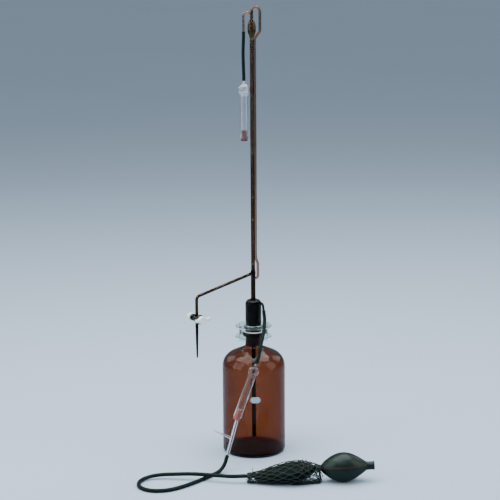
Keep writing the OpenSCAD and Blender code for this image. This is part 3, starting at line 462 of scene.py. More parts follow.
def smudge_group(name):
    """Roughness that wanders between a clean and a handled value."""
    inputs = [("Scale", NUMBER, 30), ("Clean", NUMBER, 0.02), ("Handled", NUMBER, 0.1)]
    group, given, result, noise = new_group(name, inputs, "Roughness", NUMBER)
    spread = spread_noise(group, noise, 0.42, 0.75)
    group.links.new(given["Clean"], spread.inputs["To Min"])
    group.links.new(given["Handled"], spread.inputs["To Max"])
    group.links.new(spread.outputs["Result"], result)
    return group


def relief_group(name):
    """Fine uneven skin as a normal."""
    inputs = [("Scale", NUMBER, 900), ("Strength", NUMBER, 0.2), ("Depth", NUMBER, 0.0002)]
    group, given, result, noise = new_group(name, inputs, "Normal", NORMAL, detail=4)
    bump = group.nodes.new("ShaderNodeBump")
    group.links.new(noise, bump.inputs["Height"])
    group.links.new(given["Strength"], bump.inputs["Strength"])
    group.links.new(given["Depth"], bump.inputs["Distance"])
    group.links.new(bump.outputs["Normal"], result)
    return group


EFFECTS = {"mottle": mottle_group, "handling_smudges": smudge_group, "fine_relief": relief_group}


def feed(material, effect, socket, values):
    """Feeds a socket of the material's shader from a shared effect, which is built at its first use."""
    tree = material.node_tree
    node = tree.nodes.new("ShaderNodeGroup")
    node.node_tree = bpy.data.node_groups.get(effect) or EFFECTS[effect](effect)
    for label, value in values.items():
        node.inputs[label].default_value = value
    tree.links.new(node.outputs[0], tree.nodes[SHADER].inputs[socket])


def add_mottle(material, tone, other, scale):
    """Base colour from the mottle effect."""
    feed(material, "mottle", "Base Color", {"Scale": scale, "Tone": rgba(tone), "Other Tone": rgba(other)})


def add_smudges(material, scale, clean, handled):
    """Roughness from the smudge effect."""
    feed(material, "handling_smudges", "Roughness", {"Scale": scale, "Clean": clean, "Handled": handled})


def add_relief(material, scale, strength, depth):
    """Normal from the relief effect."""
    feed(material, "fine_relief", "Normal", {"Scale": scale, "Strength": strength, "Depth": depth})


# Materials

# Kinds of glass: slot, tint, density, share of that density, sheen, and the share of light that passes
GLASSES = {
    "amber_bottle_glass": ("amber_glass", "bottle_amber", "bottle_density", 1, 0.4, 1),
    "amber_tube_glass": ("amber_glass", "amber", "tube_density", 1, 0.5, 1),
    "dark_head_glass": ("amber_glass", "amber", "head_density", 1, 0.35, 1),
    "pale_amber_glass": ("amber_glass", "pale_amber", "tube_density", 0.4, 0.5, 1),
    "olive_bulb_glass": ("amber_glass", "olive", "tube_density", 0.6, 0.5, 1),
    "olive_stem_glass": ("amber_glass", "olive", "tube_density", 0.75, 0.5, 1),
    "olive_arm_glass": ("amber_glass", "olive", "tube_density", 2, 0.5, 1),
    "bright_clear_glass": ("clear_glass", "clear", "clear_density", 1, 1, 0.985),
    "clean_clear_glass": ("clear_glass", "clear", "clear_density", 1, 0.25, 1),
}
GLASS_IOR = 1.5
ACRYLIC_IOR = 1.49


def rgba(tone):
    """Colour with full alpha."""
    return (*tone[:3], 1.0)


def shaded(tone, share, lift=0.0):
    """A tone made lighter or darker."""
    return [min(1.0, v * share + lift) for v in tone]


def new_material(name, tone, roughness, **sockets):
    """Material with a Principled BSDF whose plain values are set on its own sockets."""
    material = bpy.data.materials.new(name)
    material.use_nodes = True
    inputs = material.node_tree.nodes[SHADER].inputs
    inputs["Base Color"].default_value = rgba(tone)
    inputs["Roughness"].default_value = roughness
    for label, value in sockets.items():
        inputs[label.replace("_", " ").title().replace("Ior", "IOR")].default_value = value
    return material


def kept(build):
    """Has a material built the first time that its name is asked for, and found after that."""

    def find(name, *tones, **values):
        return bpy.data.materials.get(name) or build(name, *tones, **values)

    return find


@kept
def glass(name):
    """Glass of one kind, whose tint deepens with the glass that light passes through."""
    _, tint, density, share, sheen, passing = GLASSES[name]
    tone = rgba((sheen, sheen, sheen))
    material = new_material(
        name, (1, 1, 1), roughness=0.0, transmission_weight=passing, ior=GLASS_IOR, specular_tint=tone)
    add_smudges(material, scale=22, clean=0.0, handled=0.05)
    nodes = material.node_tree.nodes
    absorb = nodes.new("ShaderNodeVolumeAbsorption")
    absorb.inputs["Color"].default_value = rgba(getattr(look(), tint))
    absorb.inputs["Density"].default_value = getattr(look(), density) * share
    material.node_tree.links.new(absorb.outputs["Volume"], nodes["Material Output"].inputs["Volume"])
    return material


@kept
def rubber(name, tone, bloom, roughness, gloss=0.3, gloss_tone=(1, 1, 1)):
    """Smooth rubber with a faint bloom."""
    material = new_material(
        name, tone, roughness, specular_ior_level=gloss, specular_tint=rgba(gloss_tone))
    add_mottle(material, tone, bloom, scale=60)
    add_smudges(material, scale=45, clean=roughness - 0.06, handled=roughness + 0.12)
    add_relief(material, scale=700, strength=0.12, depth=0.0002)
    return material


@kept
def steel(name):
    """Bright wire, a little uneven."""
    material = new_material(name, (0.07, 0.07, 0.068), roughness=0.25, metallic=1.0)
    add_smudges(material, scale=300, clean=0.18, handled=0.36)
    return material


@kept
def white_plastic(name):
    """Waxy white plastic that lets in a little light."""
    depth = (0.002, 0.002, 0.002)
    material = new_material(
        name, (0.88, 0.88, 0.86), roughness=0.38, subsurface_weight=0.12, subsurface_radius=depth)
    add_mottle(material, (0.9, 0.9, 0.885), (0.82, 0.82, 0.8), scale=120)
    add_smudges(material, scale=90, clean=0.3, handled=0.5)
    add_relief(material, scale=1500, strength=0.08, depth=0.0001)
    return material


@kept
def acrylic(name):
    """Clear plastic of the clamp plates."""
    material = new_material(
        name, look().acrylic, roughness=0.04, transmission_weight=0.99, ior=ACRYLIC_IOR)
    add_smudges(material, scale=60, clean=0.02, handled=0.14)
    return material


@kept
def enamel(name, tone):
    """Printed enamel with a slightly uneven coat."""
    material = new_material(name, tone, roughness=0.5)
    add_mottle(material, tone, shaded(tone, 0.88), scale=180)
    return material


@kept
def cord_fibre(name):
    """Dark twisted cord, with a worn lighter tone that wanders over it."""
    material = new_material(name, look().cord, roughness=0.7)
    add_mottle(material, look().cord, look().cord_light, scale=350)
    add_relief(material, scale=2600, strength=0.5, depth=0.0003)
    return material


def bulb_rubber():
    """Glossy rubber of the hand bulb."""
    return rubber("bellows_rubber", look().rubber, look().rubber_bloom,
                  roughness=0.38, gloss=0.4, gloss_tone=(0.65, 0.92, 0.85))


def bag_rubber():
    """Dull rubber of the bag."""
    return rubber("dull_bag_rubber", look().rubber, look().rubber_bloom,
                  roughness=0.6, gloss=0.1, gloss_tone=(0.5, 0.9, 0.8))


def hose_rubber():
    """Rubber of the hoses."""
    return rubber("hose_rubber", look().hose, look().hose_bloom,
                  roughness=0.42, gloss=0.14, gloss_tone=(0.75, 1, 0.93))


def stopper_rubber(name, tone):
    """Matt coloured rubber of a stopper."""
    return rubber(name, tone, shaded(tone, 1.35, lift=0.01), roughness=0.62)


def blown(name, kind, outline, *nodes, place=Matrix(), segments=48):
    """Piece of glass turned about the Z axis of its place."""
    dress(lathe(name, outline, glass(kind), place, segments), GLASSES[kind][0], *nodes)


def drawn_out(name, kind, path, radii, bore, *nodes):
    """Tube of glass along a path."""
    dress(sweep(name, path, radii, glass(kind), GLASS_SIDES, bore), GLASSES[kind][0], *nodes)


# Properties

def colour(name, description, default):
    """Colour that a user can change."""
    return bpy.props.FloatVectorProperty(
        name=name, description=description, default=default, size=3, min=0, max=1, subtype="COLOR")


def amount(name, description, default, **limits):
    """Amount that a user can change and that is never below nothing."""
    return bpy.props.FloatProperty(name=name, description=description, default=default, min=0, **limits)


def length(name, description, default, least=0.0, most=1.0):
    """Length in metres that a user can change."""
    return bpy.props.FloatProperty(
        name=name, description=description, default=default, min=least, max=most, precision=5,
        subtype="DISTANCE")


class BuretteLook(bpy.types.PropertyGroup):
    """Colours and finishes of the burette"""

    bottle_amber: colour("Bottle amber", "Tint of the bottle", (0.6, 0.285, 0.05))
    amber: colour("Amber", "Tint of the head and the measuring tube", (0.58, 0.3, 0.05))
    pale_amber: colour("Pale amber", "Tint of the filling tube and the vent tube", (0.68, 0.5, 0.36))
    olive: colour("Olive", "Tint of the stem, the arms and the zero bulb", (0.62, 0.5, 0.12))
    bottle_density: amount("Bottle density", "Depth of the bottle's tint per metre of glass", 750)
    tube_density: amount("Tube density", "Depth of the tubes' tint per metre of glass", 3000)
    head_density: amount("Head density", "Depth of the head's tint per metre of glass", 6000)
    clear: colour("Clear glass", "Tint of the clear glass", (0.8, 0.92, 0.9))
    clear_density: amount("Clear density", "Depth of the clear glass's tint per metre of glass", 20)
    rubber: colour("Rubber", "Colour of bulb and bag", (0.002, 0.006, 0.0045))
    rubber_bloom: colour("Rubber bloom", "Lighter tone on bulb and bag", (0.0035, 0.01, 0.008))
    hose: colour("Hose", "Colour of the hoses", (0.003, 0.007, 0.006))
    hose_bloom: colour("Hose bloom", "Lighter tone on the hoses", (0.005, 0.012, 0.01))
    upper_stopper: colour("Upper stopper", "Colour of the hanging tube's stopper", (0.1, 0.025, 0.028))
    lower_stopper: colour("Lower stopper", "Colour of the leaning tube's stopper", (0.3, 0.085, 0.085))
    acrylic: colour("Acrylic", "Tint of the clamp plates", (0.8, 0.97, 0.98))
    print: colour("Print", "Colour of scale and numerals", (0.36, 0.25, 0.12))
    field: colour("Writing field", "Colour of the field on the bottle", (0.36, 0.56, 0.66))
    cord: colour("Net cord", "Colour of the net", (0.003, 0.009, 0.006))
    cord_light: colour("Net cord worn", "Worn tone of the net", (0.014, 0.028, 0.022))
    seam: colour("Bulb seam", "Colour of the hand bulb's mould line", (0.03, 0.011, 0.008))


class BuretteSizes(bpy.types.PropertyGroup):
    """Sizes of the pieces that only the looks hold"""

    net_cord_d: length("Net cord", "Thickness of the net's cord", 0.0014, 0.0004, 0.002)
    mark_w: length("Mark width", "Width of a scale mark", 0.00028, 0.0001, 0.001)
    numeral_h: length("Numeral height", "Height of the scale's numerals", 0.0026, 0.001, 0.004)
    zero_mark_z: length("Zero mark", "Height of the zero mark", 0.878)
    millilitre: length("One millilitre", "Length of one millilitre on the scale", 0.0471)


class BuretteStage(bpy.types.PropertyGroup):
    """Floor, light and camera"""

    floor: colour("Floor", "Colour of the floor", (0.44, 0.56, 0.69))
    light: amount("Light", "Strength of the studio light", 1.15)
    held_back: amount(
        "Held back", "Share of floor and air that is kept out of reflections", 0.5, max=1, subtype="FACTOR")


def look():
    """Colours and finishes that a user can change."""
    return bpy.context.scene.burette_look


def sizes():
    """Sizes that a user can change."""
    return bpy.context.scene.burette_sizes


def stage_look():
    """Floor and light that a user can change."""
    return bpy.context.scene.burette_stage


# Stage; its places and sizes are in metres, apart from the floor's

LENS = 129.6
SENSOR = 36
CLIP_END = 100
CAMERA_PLACE = (-0.0063, -3.6898, 1.2419)
CAMERA_PITCH = 77.7
CAMERA_ROLL = -0.37
FLOOR_HALF = 40000
FLOOR_Z = -0.02
AIR = (0.84, 0.92, 1.0, 1)
AIR_STRENGTH = 0.45

# Soft boxes: name, place, what they face, width, height and watts
SOFT_BOXES = [
    ("top_light", (-0.1, 0.1, 2.2), (0, -0.1, 0), 3.0, 2.2, 85),
    ("left_light", (-1.9, -0.9, 1.2), (0, 0, 0.4), 1.6, 1.8, 22),
    ("right_light", (2.0, -0.6, 1.2), (0, 0, 0.4), 1.3, 1.8, 14),
    ("rear_left_light", (-2.2, 1.8, 1.8), (0, 0, 0.3), 1.6, 1.6, 10),
    ("rear_right_light", (2.2, 1.8, 1.8), (0, 0, 0.3), 1.6, 1.6, 10),
    ("front_light", (0, -2.6, 2.9), (0, 0, 0.3), 3.0, 1.4, 18),
]


class BURETTE_OT_stage(bpy.types.Operator):
    """Makes the camera, the floor and the soft studio light"""

    bl_idname = "burette.stage"
    bl_label = "Stage"

    def execute(self, context):
        self.camera(context.scene)
        self.floor()
        for box in SOFT_BOXES:
            self.soft_box(context.scene, *box)
        context.scene.world = self.studio_air()
        return {"FINISHED"}

    def camera(self, scene):
        """Camera at the photograph's viewing angle."""
        data = bpy.data.cameras.new("camera")
        data.lens = LENS
        data.sensor_width = SENSOR
        data.clip_end = CLIP_END
        camera = bpy.data.objects.new("camera", data)
        camera.location = CAMERA_PLACE
        camera.rotation_euler = (rotation(CAMERA_PITCH, "X") @ rotation(CAMERA_ROLL, "Z")).to_euler()
        scene.collection.objects.link(camera)
        scene.camera = camera

    def floor(self):
        """Wide plain floor, just under the object."""
        signs = ((-1, -1), (1, -1), (1, 1), (-1, 1))
        corners = [(x * FLOOR_HALF, y * FLOOR_HALF, FLOOR_Z) for x, y in signs]
        tone = stage_look().floor
        material = new_material("pale_floor", tone, roughness=0.6, specular_ior_level=0.1)
        add_mottle(material, tone, shaded(tone, 0.98), scale=0.8)
        tree = material.node_tree
        dark = tree.nodes.new("ShaderNodeBsdfDiffuse")
        dark.inputs["Color"].default_value = BLACK
        self.hold_back(tree, tree.nodes[SHADER].outputs["BSDF"], dark.outputs["BSDF"], "Material Output")
        floor = mesh_object("floor", corners, [(0, 1, 2, 3)], material)
        if floor.data.polygons[0].normal.z < 0:
            floor.data.flip_normals()

    def soft_box(self, scene, name, place, target, width, height, watts):
        """Soft box that faces its target and that the camera doesn't see."""
        data = bpy.data.lights.new(name, "AREA")
        data.shape = "RECTANGLE"
        data.size = width
        data.size_y = height
        data.energy = watts * stage_look().light
        lamp = bpy.data.objects.new(name, data)
        lamp.location = place
        way = Vector(target) - Vector(place)
        lamp.rotation_euler = way.to_track_quat("-Z", "Y").to_euler()
        lamp.visible_camera = False
        scene.collection.objects.link(lamp)

    def studio_air(self):
        """Even pale light from all round."""
        world = bpy.data.worlds.new("studio")
        world.use_nodes = True
        tree = world.node_tree
        air = tree.nodes["Background"]
        air.inputs["Color"].default_value = AIR
        air.inputs["Strength"].default_value = AIR_STRENGTH * stage_look().light
        dark = tree.nodes.new("ShaderNodeBackground")
        dark.inputs["Color"].default_value = BLACK
        self.hold_back(tree, air.outputs["Background"], dark.outputs["Background"], "World Output")
        return world

    def hold_back(self, tree, bright, dark, output):
        """Keeps part of the bright shader out of mirrored rays, as black flags do in a studio."""
        ray = tree.nodes.new("ShaderNodeLightPath")
        mirrored = self.product(tree, ray.outputs["Is Glossy Ray"])
        tree.links.new(ray.outputs["Is Reflection Ray"], mirrored.inputs[1])
        held = self.product(tree, mirrored.outputs["Value"])
        held.inputs[1].default_value = stage_look().held_back
        mix = tree.nodes.new("ShaderNodeMixShader")
        tree.links.new(held.outputs["Value"], mix.inputs["Fac"])
        tree.links.new(bright, mix.inputs[1])
        tree.links.new(dark, mix.inputs[2])
        tree.links.new(mix.outputs["Shader"], tree.nodes[output].inputs["Surface"])

    def product(self, tree, value):
        """Math node that multiplies a value by its second input."""
        node = tree.nodes.new("ShaderNodeMath")
        node.operation = "MULTIPLY"
        tree.links.new(value, node.inputs[0])
        return node


# Hoses. The points are those of the solids; the vent hose's are taken from the vent tube's tip.

VENT_HOSE = [(0, 0), (0, -10), (-0.5, -24), (-1, -40), (-1, -56), (-0.5, -74), (0, -91), (0, -101)]
PRESSURE_HOSE = [
    (23.4, -24.5, 294), (23.2, -30.5, 285), (22.2, -37.5, 276), (20.4, -45, 267),
    (18, -52.5, 257.5), (15.5, -59.5, 248), (13.2, -66, 238), (11.4, -71, 228),
]
BELLOWS_HOSE = [
    (-60, -144.8, 20.3), (-61.9, -147.1, 16.3), (-64.1, -149.8, 12.8), (-66.6, -152.8, 9.9),
    (-69.4, -156.1, 7.5), (-72.4, -159.9, 5.7), (-78.8, -167.6, 4.3), (-90, -182, 4.2),
    (-110, -208, 4.2), (-128, -229, 4.2), (-147, -248, 4.2), (-167, -263, 4.2), (-187, -270, 4.2),
    (-207, -269, 4.2), (-222, -260, 4.2), (-232, -246, 4.2), (-235, -229, 4.2), (-232, -212, 4.6),
    (-222, -198, 5.6), (-206, -190, 7.4), (-186, -188, 9.2), (-160, -191, 11), (-132, -195, 12.6),
    (-106, -200, 13.2), (-82, -206.5, 13.4), (-60, -212.5, 13.6), (-42, -216.3, 14.2),
]
# Outer and inner diameter of each hose
HOSE_D = {"vent_hose": (6.6, 5.4), "pressure_hose": (7.4, 5.6), "bellows_hose": (8.0, 6.6)}
HOSE_SIDES = 20
STRAIGHT_END = 9
HOSE_EDGE = 0.3
HOSE_EDGE_CUT = 0.25


class BURETTE_OT_hoses(bpy.types.Operator):
    """Makes the three rubber hoses along their routes"""

    bl_idname = "burette.hoses"
    bl_label = "Hoses"

    def execute(self, context):
        down = Vector((0, 0, -1))
        arm_way = (PRESSURE_FRAME @ PRESSURE_DIR).normalized()
        inlet_way = INLET_PLACE.to_3x3() @ down
        tee_way = TEE_PLACE.to_3x3() @ down
        nipple = NIPPLE_SEAT - 0.2
        vent = [(x - VENT_REACH, 0, VENT_TIP_Z + z) for x, z in VENT_HOSE]
        pressure = [PRESSURE_TIP, PRESSURE_TIP + STRAIGHT_END * arm_way, *PRESSURE_HOSE]
        pressure += [INLET_TOP - GRIP * inlet_way, INLET_TOP]
        bellows = [TEE_TIP, TEE_TIP + STRAIGHT_END * tee_way, *BELLOWS_HOSE]
        bellows += [BELLOWS_FRAME @ Vector((x, 0, BAG_FOOT_Z)) for x in (nipple - STRAIGHT_END, nipple)]
        self.hose("vent_hose", vent, "hanging")
        self.hose("pressure_hose", pressure, "hanging")
        self.hose("bellows_hose", bellows, "loose")
        return {"FINISHED"}

    def hose(self, node, route, lay):
        """Rubber hose with its open ends over the glass."""
        od, bore = HOSE_D[node]
        path = smooth_path(route)
        path.insert(1, path[0] + (path[1] - path[0]).normalized() * HOSE_EDGE)
        path.insert(-1, path[-1] + (path[-2] - path[-1]).normalized() * HOSE_EDGE)
        edge = od / 2 - HOSE_EDGE_CUT
        radii = [edge] + [od / 2] * (len(path) - 2) + [edge]
        piece = sweep(node + "_rubber", path, radii, hose_rubber(), HOSE_SIDES, bore / 2)
        dress(piece, "black_rubber", node)
        path_length(path) * MM


# Pieces of glass, with their print

# Painted highlight on the lip's round: the turns that it spans, and how far it lies under and over the glass
RIM_BAND = (42, 68)
RIM_SUNK = 0.02
RIM_PROUD = 0.08


class BURETTE_OT_bottle(bpy.types.Operator):
    """Makes the amber bottle and the printed writing field on it"""

    bl_idname = "burette.bottle"
    bl_label = "Reservoir bottle"

    def execute(self, context):
        shoulder = (BOTTLE_R - SHOULDER_R, self.shoulder_z())
        fillet = (NECK_R + NECK_FILLET, NECK_FOOT)
        lip_foot = LIP_Z - LIP_H
        neck_turn = 180 + SHOULDER_TURN
        outside = BASE_HOLLOW + arc(BOTTLE_R - HEEL, HEEL, HEEL, -90, 0, 14)
        outside += arc(*shoulder, SHOULDER_R, 0, SHOULDER_TURN, 28)
        outside += arc(*fillet, NECK_FILLET, neck_turn, 180, 16) + [(NECK_R, lip_foot)]
        outside += arc(LIP_R - LIP_ROUND, lip_foot + LIP_ROUND, LIP_ROUND, -90, 0, 8)
        outside += arc(*self.lip_round(), LIP_TOP_ROUND, 0, 90, 12)
        inside = [(JOINT_R, LIP_Z), (JOINT_R - JOINT_LEN / JOINT_TAPER, LIP_Z - JOINT_LEN)]
        inside += arc(*fillet, NECK_FILLET + BOTTLE_WALL, INNER_NECK_TURN, neck_turn, 12)
        inside += arc(*shoulder, SHOULDER_R - BOTTLE_WALL, SHOULDER_TURN, 0, 28)
        inside += arc(BOTTLE_R - BOTTLE_WALL - INNER_HEEL, BASE_T + INNER_HEEL, INNER_HEEL, 0, -90, 10)
        outline = outside + inside + INNER_FLOOR
        blown("bottle_glass", "amber_bottle_glass", outline, "reservoir_bottle", segments=128)
        self.ground_rim()
        self.writing_field()
        return {"FINISHED"}

    def shoulder_z(self):
        """Height where the bottle's side turns into its shoulder."""
        turn = math.radians(SHOULDER_TURN)
        end_r = BOTTLE_R - SHOULDER_R + SHOULDER_R * math.cos(turn)
        rise = (NECK_FILLET + (end_r - NECK_R - NECK_FILLET) * math.cos(turn)) / math.sin(turn)
        return NECK_FOOT - rise - SHOULDER_R * math.sin(turn)

    def lip_round(self):
        """Middle of the upper round of the lip."""
        return (LIP_R - LIP_TOP_ROUND, LIP_Z - LIP_TOP_ROUND)

    def ground_rim(self):
        """Painted highlight: a pale band on the round of the lip, in place of the top light's reflection."""
        low, high = RIM_BAND
        loop = arc(*self.lip_round(), LIP_TOP_ROUND + RIM_PROUD, low, high, 10)
        loop += arc(*self.lip_round(), LIP_TOP_ROUND + RIM_SUNK, high, low, 10)
        # The pale enamel paints the top light's highlight on the lip
        rim = lathe("ground_rim", loop, enamel("frosted_rim", (0.8, 0.79, 0.77)), segments=96)
        dress(rim, "amber_glass")

    def writing_field(self):
        """Pale enamel field with round ends, laid on the front of the bottle."""
        half_w, half_h, middle, across, proud = 10.6, 6.6, 129, 3.3, 0.06
        straight = half_w - half_h
        outline = [(straight + x, y) for x, y in arc(0, 0, half_h, -90, 90, 16)]
        outline += [(x - straight, y) for x, y in arc(0, 0, half_h, 90, 270, 16)]
        rows = [1.0, 0.75, 0.5, 0.25, 0.0]
        points = [on_front(BOTTLE_R + proud, (x * share + across) / BOTTLE_R, middle + y * share)
                  for share in rows for x, y in outline]
        faces = grid_faces(len(rows), len(outline))
        field = mesh_object("writing_field", points, faces, enamel("pale_enamel", look().field))
        dress(field, "white_ptfe")


class BURETTE_OT_glass(bpy.types.Operator):
    """Makes the burette's blown glass: head, stem, measuring tube, zero bulb and their side tubes"""

    bl_idname = "burette.glass"
    bl_label = "Burette glass"

    def execute(self, context):
        self.head()
        self.pressure_arm()
        self.upright_tubes()
        self.filling_tube()
        self.zero_bulb()
        self.vent_tube()
        self.side_arm()
        return {"FINISHED"}

    def head(self):
        """Ground cone, clamp flange and air chamber in one."""
        foot = LIP_Z - JOINT_LEN + 1
        cone = [(JOINT_R - (LIP_Z - z) / JOINT_TAPER - JOINT_FILM, z) for z in (foot, LIP_Z + 0.8)]
        bore = cone[0][0] + JOINT_FILM - HEAD_WALL
        flange_r, flange_top = FLANGE_R - FLANGE_EDGE, FLANGE_Z + FLANGE_H
        dome = (CHAMBER_R - CHAMBER_ROUND, CHAMBER_TOP - CHAMBER_ROUND)
        outside = cone + arc(flange_r, FLANGE_Z + FLANGE_EDGE, FLANGE_EDGE, -90, 0, 6)
        outside += arc(flange_r, flange_top - FLANGE_EDGE, FLANGE_EDGE, 0, 90, 6)
        outside += [(CHAMBER_R, flange_top)] + arc(*dome, CHAMBER_ROUND, 0, 90, 16)
        inside = [(STEM_BORE_R, CHAMBER_TOP), (STEM_BORE_R, CHAMBER_TOP - HEAD_WALL)]
        inside += arc(*dome, CHAMBER_ROUND - HEAD_WALL, 90, 0, 16)
        inside += [(CHAMBER_R - HEAD_WALL, flange_top + 3), (bore, FLANGE_Z - 1), (bore, foot)]
        blown("head_glass", "dark_head_glass", outside + inside, "burette_head", segments=96)

    def pressure_arm(self):
        """Bent arm that lets air into the chamber, up to its end in the hose."""
        start = Vector((PRESSURE_START, 0, PRESSURE_KNEE.z))
        end = PRESSURE_KNEE + (PRESSURE_DROP + GRIP) * PRESSURE_DIR
        path = bent_path([PRESSURE_FRAME @ p for p in (start, PRESSURE_KNEE, end)], [PRESSURE_BEND])
        radii = welded(path, PRESSURE_WELD_R, PRESSURE_R)
        drawn_out("pressure_arm_glass", "olive_arm_glass", path, radii, PRESSURE_BORE_R, "pressure_arm")

    def upright_tubes(self):
        """Dip tube, stem and measuring tube, one above the other."""
        top = CHAMBER_TOP - HEAD_WALL
        dip = [(DIP_R, DIP_FOOT), (DIP_R, top), (STEM_BORE_R, top), (STEM_BORE_R, DIP_FOOT)]
        blown("dip_tube_glass", "dark_head_glass", dip, "dip_tube", segments=40)
        closed = STEM_TOP - 2
        stem = [(0, STEM_TOP), (STEM_R, STEM_TOP), (STEM_R, CHAMBER_TOP + 3), (STEM_WELD_R, CHAMBER_TOP),
                (STEM_BORE_R, CHAMBER_TOP), (STEM_BORE_R, closed), (0, closed)]
        blown("stem_glass", "olive_stem_glass", stem, "riser_stem")
        tube = [(r, STEM_TOP + z) for r, z in FOOT_SWELL]
        tube += [(TUBE_R, ZERO_Z), (TUBE_BORE_R, ZERO_Z), (TUBE_BORE_R, STEM_TOP)]
        blown("measuring_tube_glass", "amber_tube_glass", tube, "burette_tube")

    def filling_tube(self):
        """By-pass that leaves the stem, runs up beside the measuring tube and arches over the top."""
        x, y = FILLING_OFF * math.cos(FILLING_TURN), FILLING_OFF * math.sin(FILLING_TURN)
        corners = [(4.75, 0.47, BYPASS_Z + 1.9), (10, 1, BYPASS_Z + 4), (10, 1, BYPASS_Z + 33),
                   (x, y, BYPASS_Z + 46), (x, y, ZERO_Z - 2),
                   (2 * ARCH_R, 0, ZERO_Z + 14), (2 * ARCH_R, 0, NECK_TOP)]
        path = bent_path(corners, FILLING_BENDS, steps=10)
        path += [Vector((x, 0, z)) for x, z in arc(ARCH_R, NECK_TOP, ARCH_R, 0, 180, 24)][1:]
        radii = welded(path, FILLING_WELD_R, FILLING_R)
        drawn_out("filling_tube_glass", "pale_amber_glass", path, radii, FILLING_BORE_R, "filling_tube")

    def zero_bulb(self):
        """Zero bulb with its neck, and the fine tip inside that sets the level."""
        swell, middle, lift, inner_lift = 5, ZERO_Z + 19, 18, 16.5
        dome = arc(0, 0, 1, 0, 88, 18)
        outside = [(TUBE_R, ZERO_Z), (4.7, ZERO_Z + 2), (7.6, ZERO_Z + 10.5), (8.3, ZERO_Z + 13.5)]
        outside += [(3.5 + swell * x, middle + lift * z) for x, z in dome]
        outside += [(TOP_NECK_R, ZERO_TOP + 2), (TOP_NECK_R, NECK_TOP)]
        inside = [(1.25, NECK_TOP), (1.25, NECK_TOP - 2), (2.0, NECK_TOP - 2), (2.0, ZERO_TOP - 1)]
        inside += [(2.3 + swell * x, middle + inner_lift * z) for x, z in reversed(dome)]
        inside += [(6.4, ZERO_Z + 10.5), (3.5, ZERO_Z + 2), (TUBE_BORE_R, ZERO_Z)]
        blown("zero_bulb_glass", "olive_bulb_glass", outside + inside, "zero_bulb")
        tip = [(1.2, NECK_TOP), (1.2, ZERO_Z + 8), (0.8, ZERO_Z + 2), (0.5, ZERO_Z + 2), (0.5, NECK_TOP)]
        blown("zero_tip_glass", "pale_amber_glass", tip, "zero_tip", segments=24)

    def vent_tube(self):
        """Bent vent tube at the top, down to its end in the hose."""
        corners = [(-3.05, 0, NECK_TOP - 4.27), (-VENT_REACH, 0, NECK_TOP - 1),
                   (-VENT_REACH, 0, VENT_TIP_Z - GRIP)]
        path = bent_path(corners, [VENT_BEND])
        radii = welded(path, VENT_WELD_R, VENT_R)
        drawn_out("vent_tube_glass", "pale_amber_glass", path, radii, VENT_BORE_R, "vent_tube")

    def side_arm(self):
        """Sloping arm from the measuring tube's foot to the stopcock, thicker at both welds."""
        slope = Vector((ARM_REACH, 0, BEND_Z - ARM_Z)).normalized()
        start = Vector((0, 0, ARM_Z)) + slope * 5.25
        corners = [start, (ARM_REACH, 0, BEND_Z), (ARM_REACH, 0, COCK_Z + 7.4)]
        path = bent_path(corners, [ARM_BEND], steps=16)
        path.insert(1, path[0] + slope * 2.5)
        path.insert(-1, path[-1] + Vector((0, 0, 2)))
        radii = [ARM_WELD_R] + [ARM_R] * (len(path) - 2) + [ARM_END_R]
        path = [ARM_PLACE @ p for p in path]
        drawn_out("side_arm_glass", "olive_stem_glass", path, radii, ARM_BORE_R, "side_arm")


# How far a mark runs round the tube to each side, by the tenths that its place can be divided by
MARK_TURNS = {10: 72, 5: 50, 1: 34}
SCALE_ML = 10
MARK_PROUD = 0.04
NUMERAL_PROUD = 0.05
NUMERAL_LIFT = 0.5
FONT_SIZE = 1.4


class BURETTE_OT_scale(bpy.types.Operator):
    """Prints the scale and its numerals on the measuring tube"""

    bl_idname = "burette.scale"
    bl_label = "Scale"

    def execute(self, context):
        print_ink = enamel("scale_print", look().print)
        zero, step = sizes().zero_mark_z / MM, sizes().millilitre / MM
        marks = Shape()
        for tenth in range(10 * SCALE_ML + 1):
            half = next(turn for part, turn in MARK_TURNS.items() if tenth % part == 0)
            marks.add(*self.mark(zero - tenth * step / 10, half))
        dress(mesh_object("scale_marks", marks.points, marks.faces, print_ink), "white_ptfe")
        for figure in range(SCALE_ML + 1):
            points, faces = self.numeral(context, str(figure), zero - figure * step)
            piece = mesh_object("numeral_" + str(figure), points, faces, print_ink)
            dress(piece, "white_ptfe")
        return {"FINISHED"}

    def mark(self, z, half):
        """Short line round the front of the tube."""
        steps, half_w = 10, sizes().mark_w / MM / 2
        line = arc(0, 0, TUBE_R + MARK_PROUD, -90 - half, half - 90, steps)
        points = [(x, y, z + up) for up in (-half_w, half_w) for x, y in line]
        return points, grid_faces(2, steps + 1, closed=False)

    def numeral(self, context, text, z):
        """Numeral wrapped on the tube just above its mark."""
        data = bpy.data.curves.new("numeral", "FONT")
        data.body = text
        data.size = sizes().numeral_h / MM * FONT_SIZE
        data.align_x = "CENTER"
        data.resolution_u = 3
        maker = bpy.data.objects.new("numeral", data)
        context.scene.collection.objects.link(maker)
        context.view_layer.update()
        flat = bpy.data.meshes.new_from_object(maker.evaluated_get(context.evaluated_depsgraph_get()))
        bpy.data.objects.remove(maker)
        bpy.data.curves.remove(data)
        r = TUBE_R + NUMERAL_PROUD
        points = [on_front(r, v.co.x / r, z + NUMERAL_LIFT + v.co.y) for v in flat.vertices]
        faces = [tuple(p.vertices) for p in flat.polygons]
        bpy.data.meshes.remove(flat)
        return points, faces


# Length of the key's wings, by the side that they leave the hub on
WINGS = {1: 16.8, -1: 22.2}


